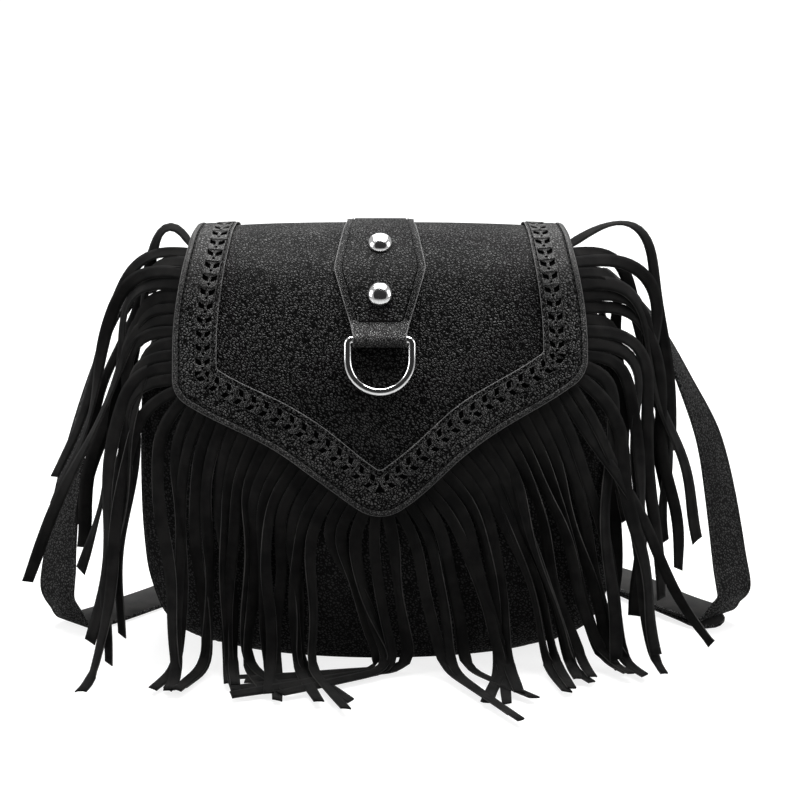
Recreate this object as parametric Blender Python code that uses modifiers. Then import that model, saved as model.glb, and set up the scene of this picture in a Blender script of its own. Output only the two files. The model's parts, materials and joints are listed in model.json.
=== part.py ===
"""A fringed shoulder bag of pebbled leather, with a suede fringe sewn round its flap.

Metres, +Z up. The bag stands on z = 0 with its front towards -Y. The origin is the middle of its base.
"""

import math
import random

import bmesh
import bpy
import numpy as np
from mathutils import Matrix, Vector

# Body of the bag
BODY_WIDTH = 0.286
BODY_HEIGHT = 0.243
FRONT_DROP = 0.019
FRONT_TOP = BODY_HEIGHT - FRONT_DROP
FRONT_SEAM = 0.037
FRONT_BULGE = 0.028
BACK_SEAM = 0.034
BACK_BULGE = 0.018
GUSSET_BULGE = 0.004
GUSSET_BULGE_FOOT = 0.04
GUSSET_BULGE_HEAD = 0.06
PANEL_THICKNESS = 0.0018
LINING_THICKNESS = 0.0010
LINING_TOP_INSET = 0.006
LINING_SIDE_INSET = 0.008
SEAM_GAP = 0.0004
PANEL_COLUMNS = 11
PANEL_ROWS = 10
PANEL_ROW_POWER = 1.5
LINING_COLUMNS = 18
LINING_ROWS = 7
LINING_FOOT_SHARE = 0.25
LINING_ROW_POWER = 1.3

# How the body's outline and depth vary with height, as shares of the sizes above
WIDTH_SHAPE = ((0, 0.65), (0.02, 0.77), (0.06, 0.875), (0.12, 0.94), (0.25, 0.99), (0.40, 1),
               (0.66, 0.985), (0.76, 0.95), (0.86, 0.875), (0.93, 0.81), (1, 0.775))
FRONT_SEAM_SHAPE = ((0, 0.73), (0.1, 0.89), (0.4, 1), (0.7, 0.92), (0.93, 0.70), (1, 0.65))
FRONT_BULGE_SHAPE = ((0, 0.80), (0.08, 0.88), (0.25, 1), (0.45, 1), (0.62, 0.88), (0.78, 0.64),
                     (0.88, 0.42), (1, 0.1))
BACK_SEAM_SHAPE = ((0, 0.76), (0.1, 0.91), (0.4, 1), (0.7, 0.97), (1, 0.9))
BACK_BULGE_SHAPE = ((0, 1), (0.1, 0.89), (0.4, 0.83), (0.7, 0.62), (1, 0.1))
BULGE_POWER = 0.75

# Flap, laid flat: x across, v along from the fold at the back
FLAP_WIDTH = 0.242
FLAP_LENGTH = 0.2135
FLAP_POINT_ANGLE = math.radians(34)
FLAP_CORNER_RADIUS = 0.018
FLAP_TIP_RADIUS = 0.022
FLAP_HOLLOW = 0.0045
FLAP_BACK_SHARE = 0.9
EDGE_COUNTS = (11, 3, 6, 3)
SIDE_ROW_SHAPE = ((0, 0), (0.2, 0.11), (0.7, 0.57), (1, 1))
LAYER_SPREAD = 1.4
FLAP_FLARE_END = 0.115
FLAP_SKEW = 0.05
FLAP_CURL = 0.013
FLAP_CURL_POWER = 2.4
FLAP_CURL_START = 0.040
FLAP_CURL_END = 0.100
FLAP_DROP = 0.004
FLAP_DROP_END = 0.020
CROWN_RISE = 0.0105
CROWN_SHAPE = ((0.08, 0.62), (0.26, 1), (0.44, 0.88), (0.64, 0.15), (0.83, -1.05))
CROWN_FOOT_SHARE = 0.30
FLAP_JOIN_DROP = 0.030
FLAP_JOIN_HEIGHT = BODY_HEIGHT - FLAP_JOIN_DROP
FOLD_GAP = 0.0012
FLAP_COLUMNS = 10

# Layers of the flap, measured from the middle of the fringe's header
HEADER_THICKNESS = 0.0010
HEADER_DEPTH = 0.009
LAYER_GAP = 0.00055
FLAP_THICKNESS = 0.0014
BORDER_THICKNESS = 0.0014
BORDER_WIDTH = 0.0265
FLAP_PANEL_INSET = 0.0015
FLAP_LINING_INSET = 0.0010
FLAP_LINING_THICKNESS = 0.0012

# Braided lacing in the border
LACE_INSET = 0.0185
LACE_WIDTH = 0.0098
LACE_SPINE = 0.0022
LACE_PERIOD = 0.0075
LACE_THICKNESS = 0.0010
LACE_SLANT = 0.0026

# Centre tab and D-ring
TAB_TOP_WIDTH = 0.044
TAB_MIDDLE_WIDTH = 0.056
TAB_END_WIDTH = 0.031
TAB_MIDDLE = 0.068
TAB_WIDEN_FROM = 0.4
TAB_WIDEN_TO = 0.8
TAB_SHOULDER_SHARE = 0.75
TAB_END_STRAIGHT = 0.004
TAB_THICKNESS = 0.0014
RING_BAR_PLACE = 0.1110
RING_WIRE = 0.0048
RING_WIDTH = 0.042
RING_LENGTH = 0.035
RING_CORNER = 0.0028
LOOP_CLEARANCE = 0.0005
LOOP_RETURN = 0.0165
LAP_RAMP = 0.0025
LOOP_REACH = 0.009
RING_REST_LIFT = 0.0010

# Dome rivets
RIVET_PLACES = (0.0515, 0.0845)
RIVET_RADIUS = 0.0069
RIVET_DOME = 0.0042
RIVET_RIM = 0.0007
RIVET_SEAT_GAP = 0.0003
RIVET_SHANK_RADIUS = 0.0015
RIVET_BACK_RADIUS = 0.0038
RIVET_BACK_THICKNESS = 0.0006
BORE_CLEARANCE = 0.0003
BORE_LENGTH = 0.03

# Magnetic snap
SNAP_RADIUS = 0.009
SNAP_DROP = 0.113
SNAP_HEIGHT = BODY_HEIGHT - SNAP_DROP
SNAP_SOCKET_THICKNESS = 0.0020
SNAP_STUD_THICKNESS = 0.0016
SNAP_NUB_RADIUS = 0.0024
SNAP_NUB_HEIGHT = 0.0007
SNAP_RECESS_RADIUS = 0.0044
SNAP_RECESS_DEPTH = 0.0011
SNAP_GAP = 0.0004
SNAP_CHAMFER = 0.0006
SNAP_NUB_TAPER = 0.0004
SNAP_RISE_STEP = 0.002

# Fringe: strips cut from suede, sewn under the flap's edge
STRIP_PITCH = 0.0070
STRIP_SLIT = 0.0006
STRIP_LENGTH = 0.172
STRIP_THICKNESS = 0.0009
FRINGE_START = 0.036
STRIP_STATIONS = (0.06, 0.14, 0.24, 0.36, 0.52, 0.70, 0.86, 1)
STRIP_STEP = 0.0025
STRIP_CLEARANCE = 0.0022
FLOOR_CLEARANCE = 0.0012

# How the strips hang, against their place: -1 the left end, 0 the flap's tip, 1 the right end
STRIP_LONGER = ((-1, 1.02), (-0.85, 1.12), (-0.6, 1.10), (-0.4, 1), (-0.1, 0.94), (0.1, 0.94), (0.4, 1),
                (0.6, 1.06), (0.85, 1.10), (1, 1.04))
STRIP_BEND = ((-1, 0.062), (-0.75, 0.052), (-0.5, 0.045), (-0.25, 0.055), (0, 0.035), (0.25, 0.055),
              (0.5, 0.055), (0.75, 0.064), (1, 0.085))
STRIP_LEAN = ((-1, -0.38), (-0.8, -0.20), (-0.6, -0.07), (-0.45, -0.03), (-0.25, 0.10), (-0.05, 0.04),
              (0.05, 0.04), (0.25, 0.22), (0.42, 0.31), (0.55, 0.25), (0.64, 0.12), (0.8, 0.08),
              (1, 0.15))
STRIP_FORWARD = ((-1, 0.02), (-0.85, 0.06), (-0.7, 0.30), (-0.6, 0.34), (-0.5, 0.12), (-0.3, 0.02),
                 (0.4, 0.02), (0.55, 0.06), (0.64, 0.20), (0.74, 0.12), (0.85, 0.04), (1, 0.02))
STRIP_TURN = ((-1, -30), (-0.66, -24), (-0.6, -10), (-0.5, 12), (-0.3, 16), (-0.04, 16), (0.04, -16),
              (0.3, -16), (0.5, -14), (0.6, 8), (0.66, 24), (1, 30))
STRIP_LAY = ((-1, 235), (-0.7, 235), (-0.58, 250), (-0.3, 248), (-0.05, 262), (0.05, 278), (0.3, 292),
             (0.6, 294), (0.68, 300), (1, 305))
STRIP_WAVES = ((5.3, 0.0), (3.4, 2.0), (8.9, 4.0))
STRIP_SWAY = 0.016
STRIP_STANDOFF = 0.0035
STRIP_UNEVEN = 0.05
LAY_TILT = 28
LAY_SWAY = 4
LAY_START = 0.018
LAY_LENGTH = 0.024
STANDOFF_START = 0.01
STANDOFF_LENGTH = 0.04
HANG_TURN_LENGTH = 0.060
SIDE_SHARE = 0.615
FRINGE_NAMES = ("fringe_left_side", "fringe_left_front", "fringe_right_front", "fringe_right_side")

# Tabs and rings at both sides, just behind the flap's fringe
SIDE_MIDDLE = 0.0155
SIDE_TAB_WIDTH = 0.0255
SIDE_TAB_LENGTH = 0.034
SIDE_TAB_THICKNESS = 0.0014
SIDE_RING_WIRE = 0.0034
SIDE_RING_INSIDE = 0.0315
SIDE_RING_REACH = 0.014
SIDE_RING_FALL = math.radians(20)
SIDE_RING_DROP = 0.0145
SIDE_RING_HEIGHT = BODY_HEIGHT - SIDE_RING_DROP
SIDE_RING_CORNER = 0.00255

# Shoulder strap: both ends hang from the side rings, and the rest lies on the floor behind the bag
STRAP_WIDTH = 0.030
STRAP_THICKNESS = 0.0026
STRAP_RETURN = 0.026
STRAP_TIP_TAPER = 0.016
STRAP_TAIL = 0.112
BUCKLE_WIRE = 0.003
BUCKLE_LENGTH = 0.022
BUCKLE_INSIDE = 0.032
BUCKLE_X = 0.098
BUCKLE_Y = 0.086
BUCKLE_SLOPE = 0.12
BUCKLE_LEAD = 0.006
PRONG_WIRE = 0.0022
PRONG_SLOT = 0.005
PRONG_HOLE_LENGTH = 0.020
PRONG_HOLE_SHIFT = 0.0025
PRONG_FLAT = 0.006
PRONG_OVERHANG = 0.0035
KEEPER_WIDTH = 0.010
KEEPER_THICKNESS = 0.0012
KEEPER_PLACE = 0.033
KEEPER_FLOOR_GAP = 0.0004
FIT_GAP = 0.0005

# The hanging part as (away from the ring, back, share of the ring's height, turn of the width in degrees)
HANG_RIGHT = ((0.010, 0.0005, 0.965, 0), (0.029, 0.002, 0.86, 6), (0.0475, 0.003, 0.70, 18),
              (0.0645, 0.002, 0.52, 35), (0.0725, -0.003, 0.35, 45), (0.0775, -0.011, 0.20, 50),
              (0.080, -0.020, 0.11, 51))
HANG_LEFT = ((0.010, 0.0005, 0.965, 0), (0.025, 0.002, 0.86, 4), (0.038, 0.003, 0.70, 14),
             (0.049, 0.002, 0.52, 26), (0.057, -0.003, 0.35, 38), (0.061, -0.011, 0.20, 48),
             (0.062, -0.020, 0.11, 51))
# The part on the floor as (x, y, turn of the width), from the curl at a side to the middle
FLOOR_RIGHT = ((0.209, 0.004, 51), (0.192, 0.021, 50), (0.174, 0.0435, 46), (0.157, 0.0675, 34),
               (0.138, 0.0812, 7))
FLOOR_LEFT = ((-0.191, 0.003, 51), (-0.173, 0.019, 51), (-0.150, 0.043, 48), (-0.120, 0.072, 32),
              (-0.070, 0.090, 8), (0.000, 0.094, 0), (0.045, 0.091, -6))
CURL_RADIUS = 0.009
CURL_START_SHARE = 0.9
TAIL_SHARES = (-0.04, 0.15, 0.36)
TAIL_SHIFT = (0.004, -0.003)
TAIL_END = (0.016, -0.019)

LEATHER = ("pebbled_leather", (0.020, 0.019, 0.020), 0.46, 0.0)
EDGE_LEATHER = ("edge_leather", (0.030, 0.029, 0.030), 0.42, 0.0)
LINING = ("lining_cloth", (0.030, 0.028, 0.028), 0.85, 0.0)
SUEDE = ("suede", (0.010, 0.010, 0.011), 0.95, 0.0)
STEEL = ("polished_steel", (0.78, 0.78, 0.80), 0.14, 1.0)


def smooth_through(points, at):
    """The values at those places of a smooth curve through (place, value) points, without overshoot."""
    place, value = np.array(points, float).T
    slope = np.diff(value) / np.diff(place)
    product = slope[:-1] * slope[1:]
    inner = np.where(product > 0, 2 * product / np.where(product > 0, slope[:-1] + slope[1:], 1), 0)
    tangent = np.concatenate([slope[:1], inner, slope[-1:]])
    at = np.clip(at, place[0], place[-1])
    k = np.clip(np.searchsorted(place, at, side="right") - 1, 0, len(slope) - 1)
    span = place[k + 1] - place[k]
    t = (at - place[k]) / span
    rise = t * t * (3 - 2 * t)
    ends = (1 - rise) * value[k] + rise * value[k + 1]
    return ends + t * (1 - t) * span * ((1 - t) * tangent[k] - t * tangent[k + 1])


def ease(t):
    """0 before 0, 1 after 1, and a smooth step between."""
    t = np.clip(t, 0, 1)
    return t * t * (3 - 2 * t)


def unit(vector):
    """The vector at length 1."""
    return np.asarray(vector, float) / np.linalg.norm(vector)


def half_width(z):
    """Half the width of the front and back panels at that height."""
    return BODY_WIDTH / 2 * smooth_through(WIDTH_SHAPE, z / BODY_HEIGHT)


def panel_depth(x, z, seam, seam_shape, bulge, bulge_shape):
    """How far a panel's outer face stands from the middle plane."""
    share = z / BODY_HEIGHT
    across = np.clip(1 - (x / half_width(z)) ** 2, 0, 1)
    swell = bulge * smooth_through(bulge_shape, share) * across**BULGE_POWER
    return seam * smooth_through(seam_shape, share) + swell


def front_y(x, z):
    """The outer face of the front panel."""
    return -panel_depth(x, z, FRONT_SEAM, FRONT_SEAM_SHAPE, FRONT_BULGE, FRONT_BULGE_SHAPE)


def back_y(x, z):
    """The outer face of the back panel."""
    return panel_depth(x, z, BACK_SEAM, BACK_SEAM_SHAPE, BACK_BULGE, BACK_BULGE_SHAPE)


# Heights of the flap's layers above the middle of the fringe's header
PANEL_TOP = HEADER_THICKNESS / 2 + LAYER_GAP + FLAP_THICKNESS
BORDER_TOP = PANEL_TOP + LAYER_GAP + BORDER_THICKNESS
LACE_TOP = BORDER_TOP + LAYER_GAP + LACE_THICKNESS
FLAP_UNDERSIDE = HEADER_THICKNESS / 2 + LAYER_GAP + FLAP_LINING_THICKNESS
STUD_FACE = FLAP_UNDERSIDE + SNAP_GAP + SNAP_STUD_THICKNESS
FLAP_STANDOFF = STUD_FACE + SNAP_GAP + SNAP_SOCKET_THICKNESS + SNAP_GAP

# The fold that the flap turns about
FOLD_LAYERS = BORDER_TOP + FOLD_GAP
HINGE_Y = float(back_y(0.0, BODY_HEIGHT)) + FOLD_GAP
HINGE_Z = BODY_HEIGHT + FOLD_GAP


def crown_curve(samples=400):
    """The flap's centre line from the fold, over the top and down the front, as (length, y, z) columns."""
    start = np.array([HINGE_Y - FOLD_LAYERS, HINGE_Z + FOLD_GAP / 2])
    join = np.array([front_y(0.0, FLAP_JOIN_HEIGHT) - FLAP_STANDOFF, FLAP_JOIN_HEIGHT])
    knots = [start]
    for forward, rise in CROWN_SHAPE:
        knots.append(np.array([start[0] + forward * (join[0] - start[0]), start[1] + rise * CROWN_RISE]))
    heights = np.linspace(FLAP_JOIN_HEIGHT, CROWN_FOOT_SHARE * BODY_HEIGHT, 9)
    knots += [np.array([front_y(0.0, z) - FLAP_STANDOFF, z]) for z in heights]
    knots = np.array(knots)
    along = np.concatenate([[0], np.cumsum(np.linalg.norm(np.diff(knots, axis=0), axis=1))])
    fine = np.linspace(0, along[-1], samples)
    y = smooth_through(np.column_stack([along, knots[:, 0]]), fine)
    z = smooth_through(np.column_stack([along, knots[:, 1]]), fine)
    length = np.concatenate([[0], np.cumsum(np.hypot(np.diff(y), np.diff(z)))])
    return length, y, z


CROWN = crown_curve()


def flap_surface(x, v):
    """The place on the flap's middle surface of a point x, v of its flat shape."""
    x, v = np.asarray(x, float), np.asarray(v, float)
    side = FLAP_WIDTH / 2
    beside_tab = ease((np.abs(x) - TAB_END_WIDTH / 2) / TAB_END_WIDTH)
    v = v - FLAP_SKEW * x * beside_tab * np.clip(v / FLAP_FLARE_END, 0, 1)
    x = x * (FLAP_BACK_SHARE + (1 - FLAP_BACK_SHARE) * ease(v / FLAP_FLARE_END))
    edge = np.abs(x / side) ** FLAP_CURL_POWER
    curled = ease((v - FLAP_CURL_START) / (FLAP_CURL_END - FLAP_CURL_START))
    y = np.interp(v, CROWN[0], CROWN[1]) + FLAP_CURL * edge * curled
    z = np.interp(v, CROWN[0], CROWN[2]) - FLAP_DROP * edge * ease(v / FLAP_DROP_END)
    return np.stack([x, y, z], axis=-1)


def flap_point(x, v, lift=0.0):
    """A point at that height above the flap's middle surface."""
    step = 1e-4
    across = flap_surface(x + step, v) - flap_surface(x - step, v)
    along = flap_surface(x, v + step) - flap_surface(x, v - step)
    normal = np.cross(along, across)
    normal = normal / np.linalg.norm(normal, axis=-1, keepdims=True)
    return flap_surface(x, v) + normal * np.asarray(lift)[..., None]


def flap_normal(x, v):
    """The outward direction of the flap at x, v."""
    return unit(flap_point(x, v, 0.001) - flap_surface(x, v))


def flap_edge(inset, fineness=1):
    """The flap's flat outline at an inset from its edge, from the left end of the fold to the right one."""
    side, corner, slope, tip = (fineness * count for count in EDGE_COUNTS)
    half = FLAP_WIDTH / 2
    lean = FLAP_POINT_ANGLE
    tip_v = FLAP_LENGTH + FLAP_TIP_RADIUS * (1 / math.cos(lean) - 1) - inset / math.cos(lean)
    corner_radius = max(FLAP_CORNER_RADIUS - inset, 0.003)
    tip_radius = max(FLAP_TIP_RADIUS - inset, 0.004)
    left = inset - half
    corner_v = tip_v + left * math.tan(lean)
    turn = math.pi / 2 - lean
    reach = corner_radius * math.tan(turn / 2)
    rows = (corner_v - reach) * smooth_through(SIDE_ROW_SHAPE, np.linspace(0, 1, side + 1))
    points = [(left, v) for v in rows]
    centre = np.array([left + corner_radius, corner_v - reach])
    for angle in np.linspace(0, turn, corner + 1)[1:]:
        bend = corner_radius * np.array([-math.cos(angle), math.sin(angle)])
        points.append(tuple(centre + bend))
    start = np.array(points[-1])
    end = np.array([-tip_radius * math.sin(lean), tip_v - tip_radius * math.sin(lean) * math.tan(lean)])
    inward = np.array([math.sin(lean), -math.cos(lean)])
    for t in np.linspace(0, 1, slope + 1)[1:]:
        points.append(tuple(start + t * (end - start) + FLAP_HOLLOW * math.sin(math.pi * t) ** 2 * inward))
    middle = end[1] - tip_radius * math.cos(lean)
    for angle in np.linspace(lean, 0, tip + 1)[1:]:
        points.append((-tip_radius * math.sin(angle), middle + tip_radius * math.cos(angle)))
    points = np.array(points)
    return np.concatenate([points, points[-2::-1] * (-1, 1)])


def material(spec):
    """The material of that name, made once."""
    name, colour, roughness, metallic = spec
    found = bpy.data.materials.get(name)
    if found:
        return found
    made = bpy.data.materials.new(name)
    made.use_nodes = True
    made.diffuse_color = (*colour, 1)
    shader = made.node_tree.nodes["Principled BSDF"]
    shader.inputs["Base Color"].default_value = (*colour, 1)
    shader.inputs["Roughness"].default_value = roughness
    shader.inputs["Metallic"].default_value = metallic
    return made


def collection(name, hidden=False):
    """The collection of that name, made once."""
    found = bpy.data.collections.get(name)
    if not found:
        found = bpy.data.collections.new(name)
        bpy.context.scene.collection.children.link(found)
        found.hide_render = hidden
    return found


def add_object(name, data, spec):
    """An object of the bag, with its material."""
    made = bpy.data.objects.new(name, data)
    collection("fringed_bag").objects.link(made)
    data.materials.append(material(spec))
    return made


def solidify(made, thickness, offset=-1.0):
    """Gives an open surface its thickness, inwards unless another offset is asked for."""
    shell = made.modifiers.new("thickness", "SOLIDIFY")
    shell.thickness = thickness
    shell.offset = offset
    return shell


def sheet(name, columns, rows, place, thickness, spec, offset=-1.0, weld=False):
    """A leather or cloth piece: a grid placed by place(u, v), both from 0 to 1, and given its thickness."""
    mesh = bpy.data.meshes.new(name)
    work = bmesh.new()
    bmesh.ops.create_grid(work, x_segments=columns, y_segments=rows, size=1)
    for vertex in work.verts:
        vertex.co = place((vertex.co.x + 1) / 2, (vertex.co.y + 1) / 2)
    if weld:
        bmesh.ops.remove_doubles(work, verts=work.verts, dist=1e-5)
    for face in work.faces:
        face.smooth = True
    work.to_mesh(mesh)
    work.free()
    made = add_object(name, mesh, spec)
    solidify(made, thickness, offset)
    return made


def turned(name, profile, steps, spec, centre, axis):
    """A turned piece: the profile, given as (radius, height) from its top down, spun and set on its axis."""
    mesh = bpy.data.meshes.new(name)
    work = bmesh.new()
    verts = [work.verts.new((radius, 0, height)) for radius, height in profile]
    for one, other in zip(verts, verts[1:]):
        work.edges.new((one, other))
    work.to_mesh(mesh)
    work.free()
    made = add_object(name, mesh, spec)
    spin = made.modifiers.new("spin", "SCREW")
    spin.axis = "Z"
    spin.steps = spin.render_steps = steps
    spin.use_merge_vertices = True
    spin.merge_threshold = 1e-5
    made.location = centre
    made.rotation_euler = Vector(axis).to_track_quat("Z", "Y").to_euler()
    return made


def wire(name, points, diameter, spec, cyclic=True, resolution=2):
    """A bent wire along those points."""
    data = bpy.data.curves.new(name, "CURVE")
    data.dimensions = "3D"
    data.bevel_depth = diameter / 2
    data.bevel_resolution = resolution
    data.use_fill_caps = True
    spline = data.splines.new("POLY")
    spline.points.add(len(points) - 1)
    for point, place in zip(spline.points, points):
        point.co = (*place, 1)
    spline.use_cyclic_u = cyclic
    return add_object(name, data, spec)


def cut(made, cutter):
    """Cuts the made piece with a cutter."""
    boolean = made.modifiers.new("cut", "BOOLEAN")
    boolean.operation = "DIFFERENCE"
    boolean.object = cutter


def cutter_object(name, mesh, location, rotation):
    """A cutter, kept out of the render."""
    made = bpy.data.objects.new(name, mesh)
    collection("cutters", hidden=True).objects.link(made)
    made.location = location
    made.rotation_euler = rotation
    made.hide_render = True
    made.display_type = "WIRE"
    return made


def bore_cutter(name, centre, axis, radius, length):
    """A round cutter along an axis."""
    mesh = bpy.data.meshes.new(name)
    work = bmesh.new()
    bmesh.ops.create_cone(work, cap_ends=True, segments=10, radius1=radius, radius2=radius, depth=length)
    work.to_mesh(mesh)
    work.free()
    return cutter_object(name, mesh, centre, Vector(axis).to_track_quat("Z", "Y").to_euler())


def box_cutter(name, centre, size, turn=(0, 0, 0)):
    """A box cutter."""
    mesh = bpy.data.meshes.new(name)
    work = bmesh.new()
    bmesh.ops.create_cube(work, size=1)
    for vertex in work.verts:
        vertex.co = Vector(a * b for a, b in zip(vertex.co, size))
    work.to_mesh(mesh)
    work.free()
    return cutter_object(name, mesh, centre, turn)


def panel_x(u, z):
    """Places across a panel, closer together towards its seams."""
    return half_width(z) * math.sin((2 * u - 1) * math.pi / 2)


def panel_z(v, top):
    """Heights up a panel, closer together towards the base."""
    return top * v**PANEL_ROW_POWER


def build_panels():
    """The front and the back panel."""
    def front(u, v):
        z = panel_z(v, FRONT_TOP)
        x = panel_x(u, z)
        return x, front_y(x, z), z + SEAM_GAP

    def back(u, v):
        z = panel_z(v, BODY_HEIGHT)
        x = -panel_x(u, z)
        return x, back_y(x, z), z + SEAM_GAP * (1 - v)

    sheet("front_panel", PANEL_COLUMNS, PANEL_ROWS, front, PANEL_THICKNESS, LEATHER)
    sheet("back_panel", PANEL_COLUMNS, PANEL_ROWS, back, PANEL_THICKNESS, LEATHER)


def gusset_place(along, across):
    """A point of the gusset: along from the right top by the base to the left top, across from the front."""
    side = PANEL_ROWS / (2 * PANEL_ROWS + PANEL_COLUMNS)
    if along < side:
        z = panel_z(1 - along / side, FRONT_TOP)
        x = half_width(z)
    elif along > 1 - side:
        z = panel_z(1 - (1 - along) / side, FRONT_TOP)
        x = -half_width(z)
    else:
        z = 0.0
        x = -panel_x((along - side) / (1 - 2 * side), z)
    swell = GUSSET_BULGE * math.sin(math.pi * across)
    swell *= float(ease(z / GUSSET_BULGE_FOOT)) * float(ease((BODY_HEIGHT - z) / GUSSET_BULGE_HEAD))
    margin = PANEL_THICKNESS + SEAM_GAP
    y = front_y(x, z) + margin + across * (back_y(x, z) - front_y(x, z) - 2 * margin)
    return x + math.copysign(swell, x), y, z


def build_gusset():
    """Side, base and side in one strip."""
    sheet("gusset", 2 * PANEL_ROWS + PANEL_COLUMNS, 3, gusset_place, PANEL_THICKNESS, LEATHER)


def build_lining():
    """The cloth pouch inside the body, open at the top."""
    inside = PANEL_THICKNESS + 3 * SEAM_GAP
    half = LINING_COLUMNS // 2

    def place(u, v):
        k = round(u * LINING_COLUMNS) % LINING_COLUMNS
        fold = max(0.0, 1 - v / LINING_FOOT_SHARE)
        risen = max(0.0, (v - LINING_FOOT_SHARE) / (1 - LINING_FOOT_SHARE)) ** LINING_ROW_POWER
        height = inside + risen * (FRONT_TOP - LINING_TOP_INSET - inside)
        seen = k if k <= half else LINING_COLUMNS - k
        x = -(half_width(height) - inside - LINING_SIDE_INSET) * math.cos(math.pi * seen / half)
        front = front_y(x, height) + inside + LINING_THICKNESS
        back = back_y(x, height) - inside - LINING_THICKNESS
        middle = (front + back) / 2
        y = middle if k in (0, half) else back if k > half else front
        return x, middle + (y - middle) * (1 - fold), height

    sheet("lining", LINING_COLUMNS, LINING_ROWS, place, LINING_THICKNESS, LINING, weld=True)


def flap_layer(name, inset, top, thickness, spec):
    """A whole layer of the flap, inset from its edge, with its upper face at that height."""
    edge = flap_edge(inset)
    rows = len(edge) // 2

    def place(u, v):
        x, along = edge[round((1 - v) * rows)]
        across = math.sin((2 * u - 1) * LAYER_SPREAD) / math.sin(LAYER_SPREAD)
        return flap_point(-x * across, along, top)

    return sheet(name, FLAP_COLUMNS, rows, place, thickness, spec, weld=True)


def band(name, outer_inset, inner_inset, top, thickness, columns, spec):
    """A band that follows the flap's edge between two insets."""
    outer = flap_edge(outer_inset)
    inner = flap_edge(inner_inset)
    rows = len(outer) - 1

    def place(u, v):
        k = round(v * rows)
        x, along = inner[k] + u * (outer[k] - inner[k])
        return flap_point(x, along, top)

    return sheet(name, columns, rows, place, thickness, spec)


def build_flap():
    """The flap's panel, its lining and the border sewn round its edge."""
    panel = flap_layer("flap_panel", FLAP_PANEL_INSET, PANEL_TOP, FLAP_THICKNESS, LEATHER)
    under = -HEADER_THICKNESS / 2 - LAYER_GAP
    lining = flap_layer("flap_lining", FLAP_LINING_INSET, under, FLAP_LINING_THICKNESS, LINING)
    band("flap_border", 0.0, BORDER_WIDTH, BORDER_TOP, BORDER_THICKNESS, 2, EDGE_LEATHER)
    return panel, lining


def edge_line(inset):
    """The flap's edge in space at an inset, finely, as flat points and lengths along it."""
    flat = flap_edge(inset, fineness=40)
    space = flap_surface(flat[:, 0], flat[:, 1])
    length = np.concatenate([[0], np.cumsum(np.linalg.norm(np.diff(space, axis=0), axis=1))])
    return flat, length


def build_lacing():
    """A flat lace braided along the border: a spine with a slanted stitch to each side at every period."""
    flat, length = edge_line(LACE_INSET)
    periods = int((length[-1] - 2 * LACE_PERIOD) / LACE_PERIOD)
    start = (length[-1] - periods * LACE_PERIOD) / 2
    mesh = bpy.data.meshes.new("braided_lacing")
    work = bmesh.new()
    rows = 2 * periods - 1
    bmesh.ops.create_grid(work, x_segments=3, y_segments=rows, size=1)
    across = (-LACE_WIDTH / 2, -LACE_SPINE / 2, LACE_SPINE / 2, LACE_WIDTH / 2)
    gaps = []
    for face in work.faces:
        middle = face.calc_center_median()
        row = int((middle.y + 1) / 2 * rows)
        if abs(middle.x) > 0.5 and row % 2:
            gaps.append(face)
    for vertex in work.verts:
        column = round((vertex.co.x + 1) / 2 * 3)
        row = round((vertex.co.y + 1) / 2 * rows)
        place = start + (row + 0.5) * LACE_PERIOD / 2
        slant = LACE_SLANT if column in (0, 3) else 0
        at = place + slant
        x = np.interp(at, length, flat[:, 0])
        v = np.interp(at, length, flat[:, 1])
        ahead = np.array([np.interp(at + 1e-3, length, flat[:, k]) for k in (0, 1)]) - (x, v)
        side = unit((-ahead[1], ahead[0]))
        x, v = np.array([x, v]) + across[column] * side
        vertex.co = flap_point(x, v, LACE_TOP)
    bmesh.ops.delete(work, geom=gaps, context="FACES")
    for face in work.faces:
        face.smooth = False
    work.normal_update()
    work.to_mesh(mesh)
    work.free()
    made = add_object("braided_lacing", mesh, EDGE_LEATHER)
    solidify(made, LACE_THICKNESS)


def ring_bar():
    """Where the D-ring's bar lies: its height above the flap's middle surface."""
    return PANEL_TOP + LAYER_GAP + TAB_THICKNESS + LOOP_CLEARANCE + RING_WIRE / 2


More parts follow.
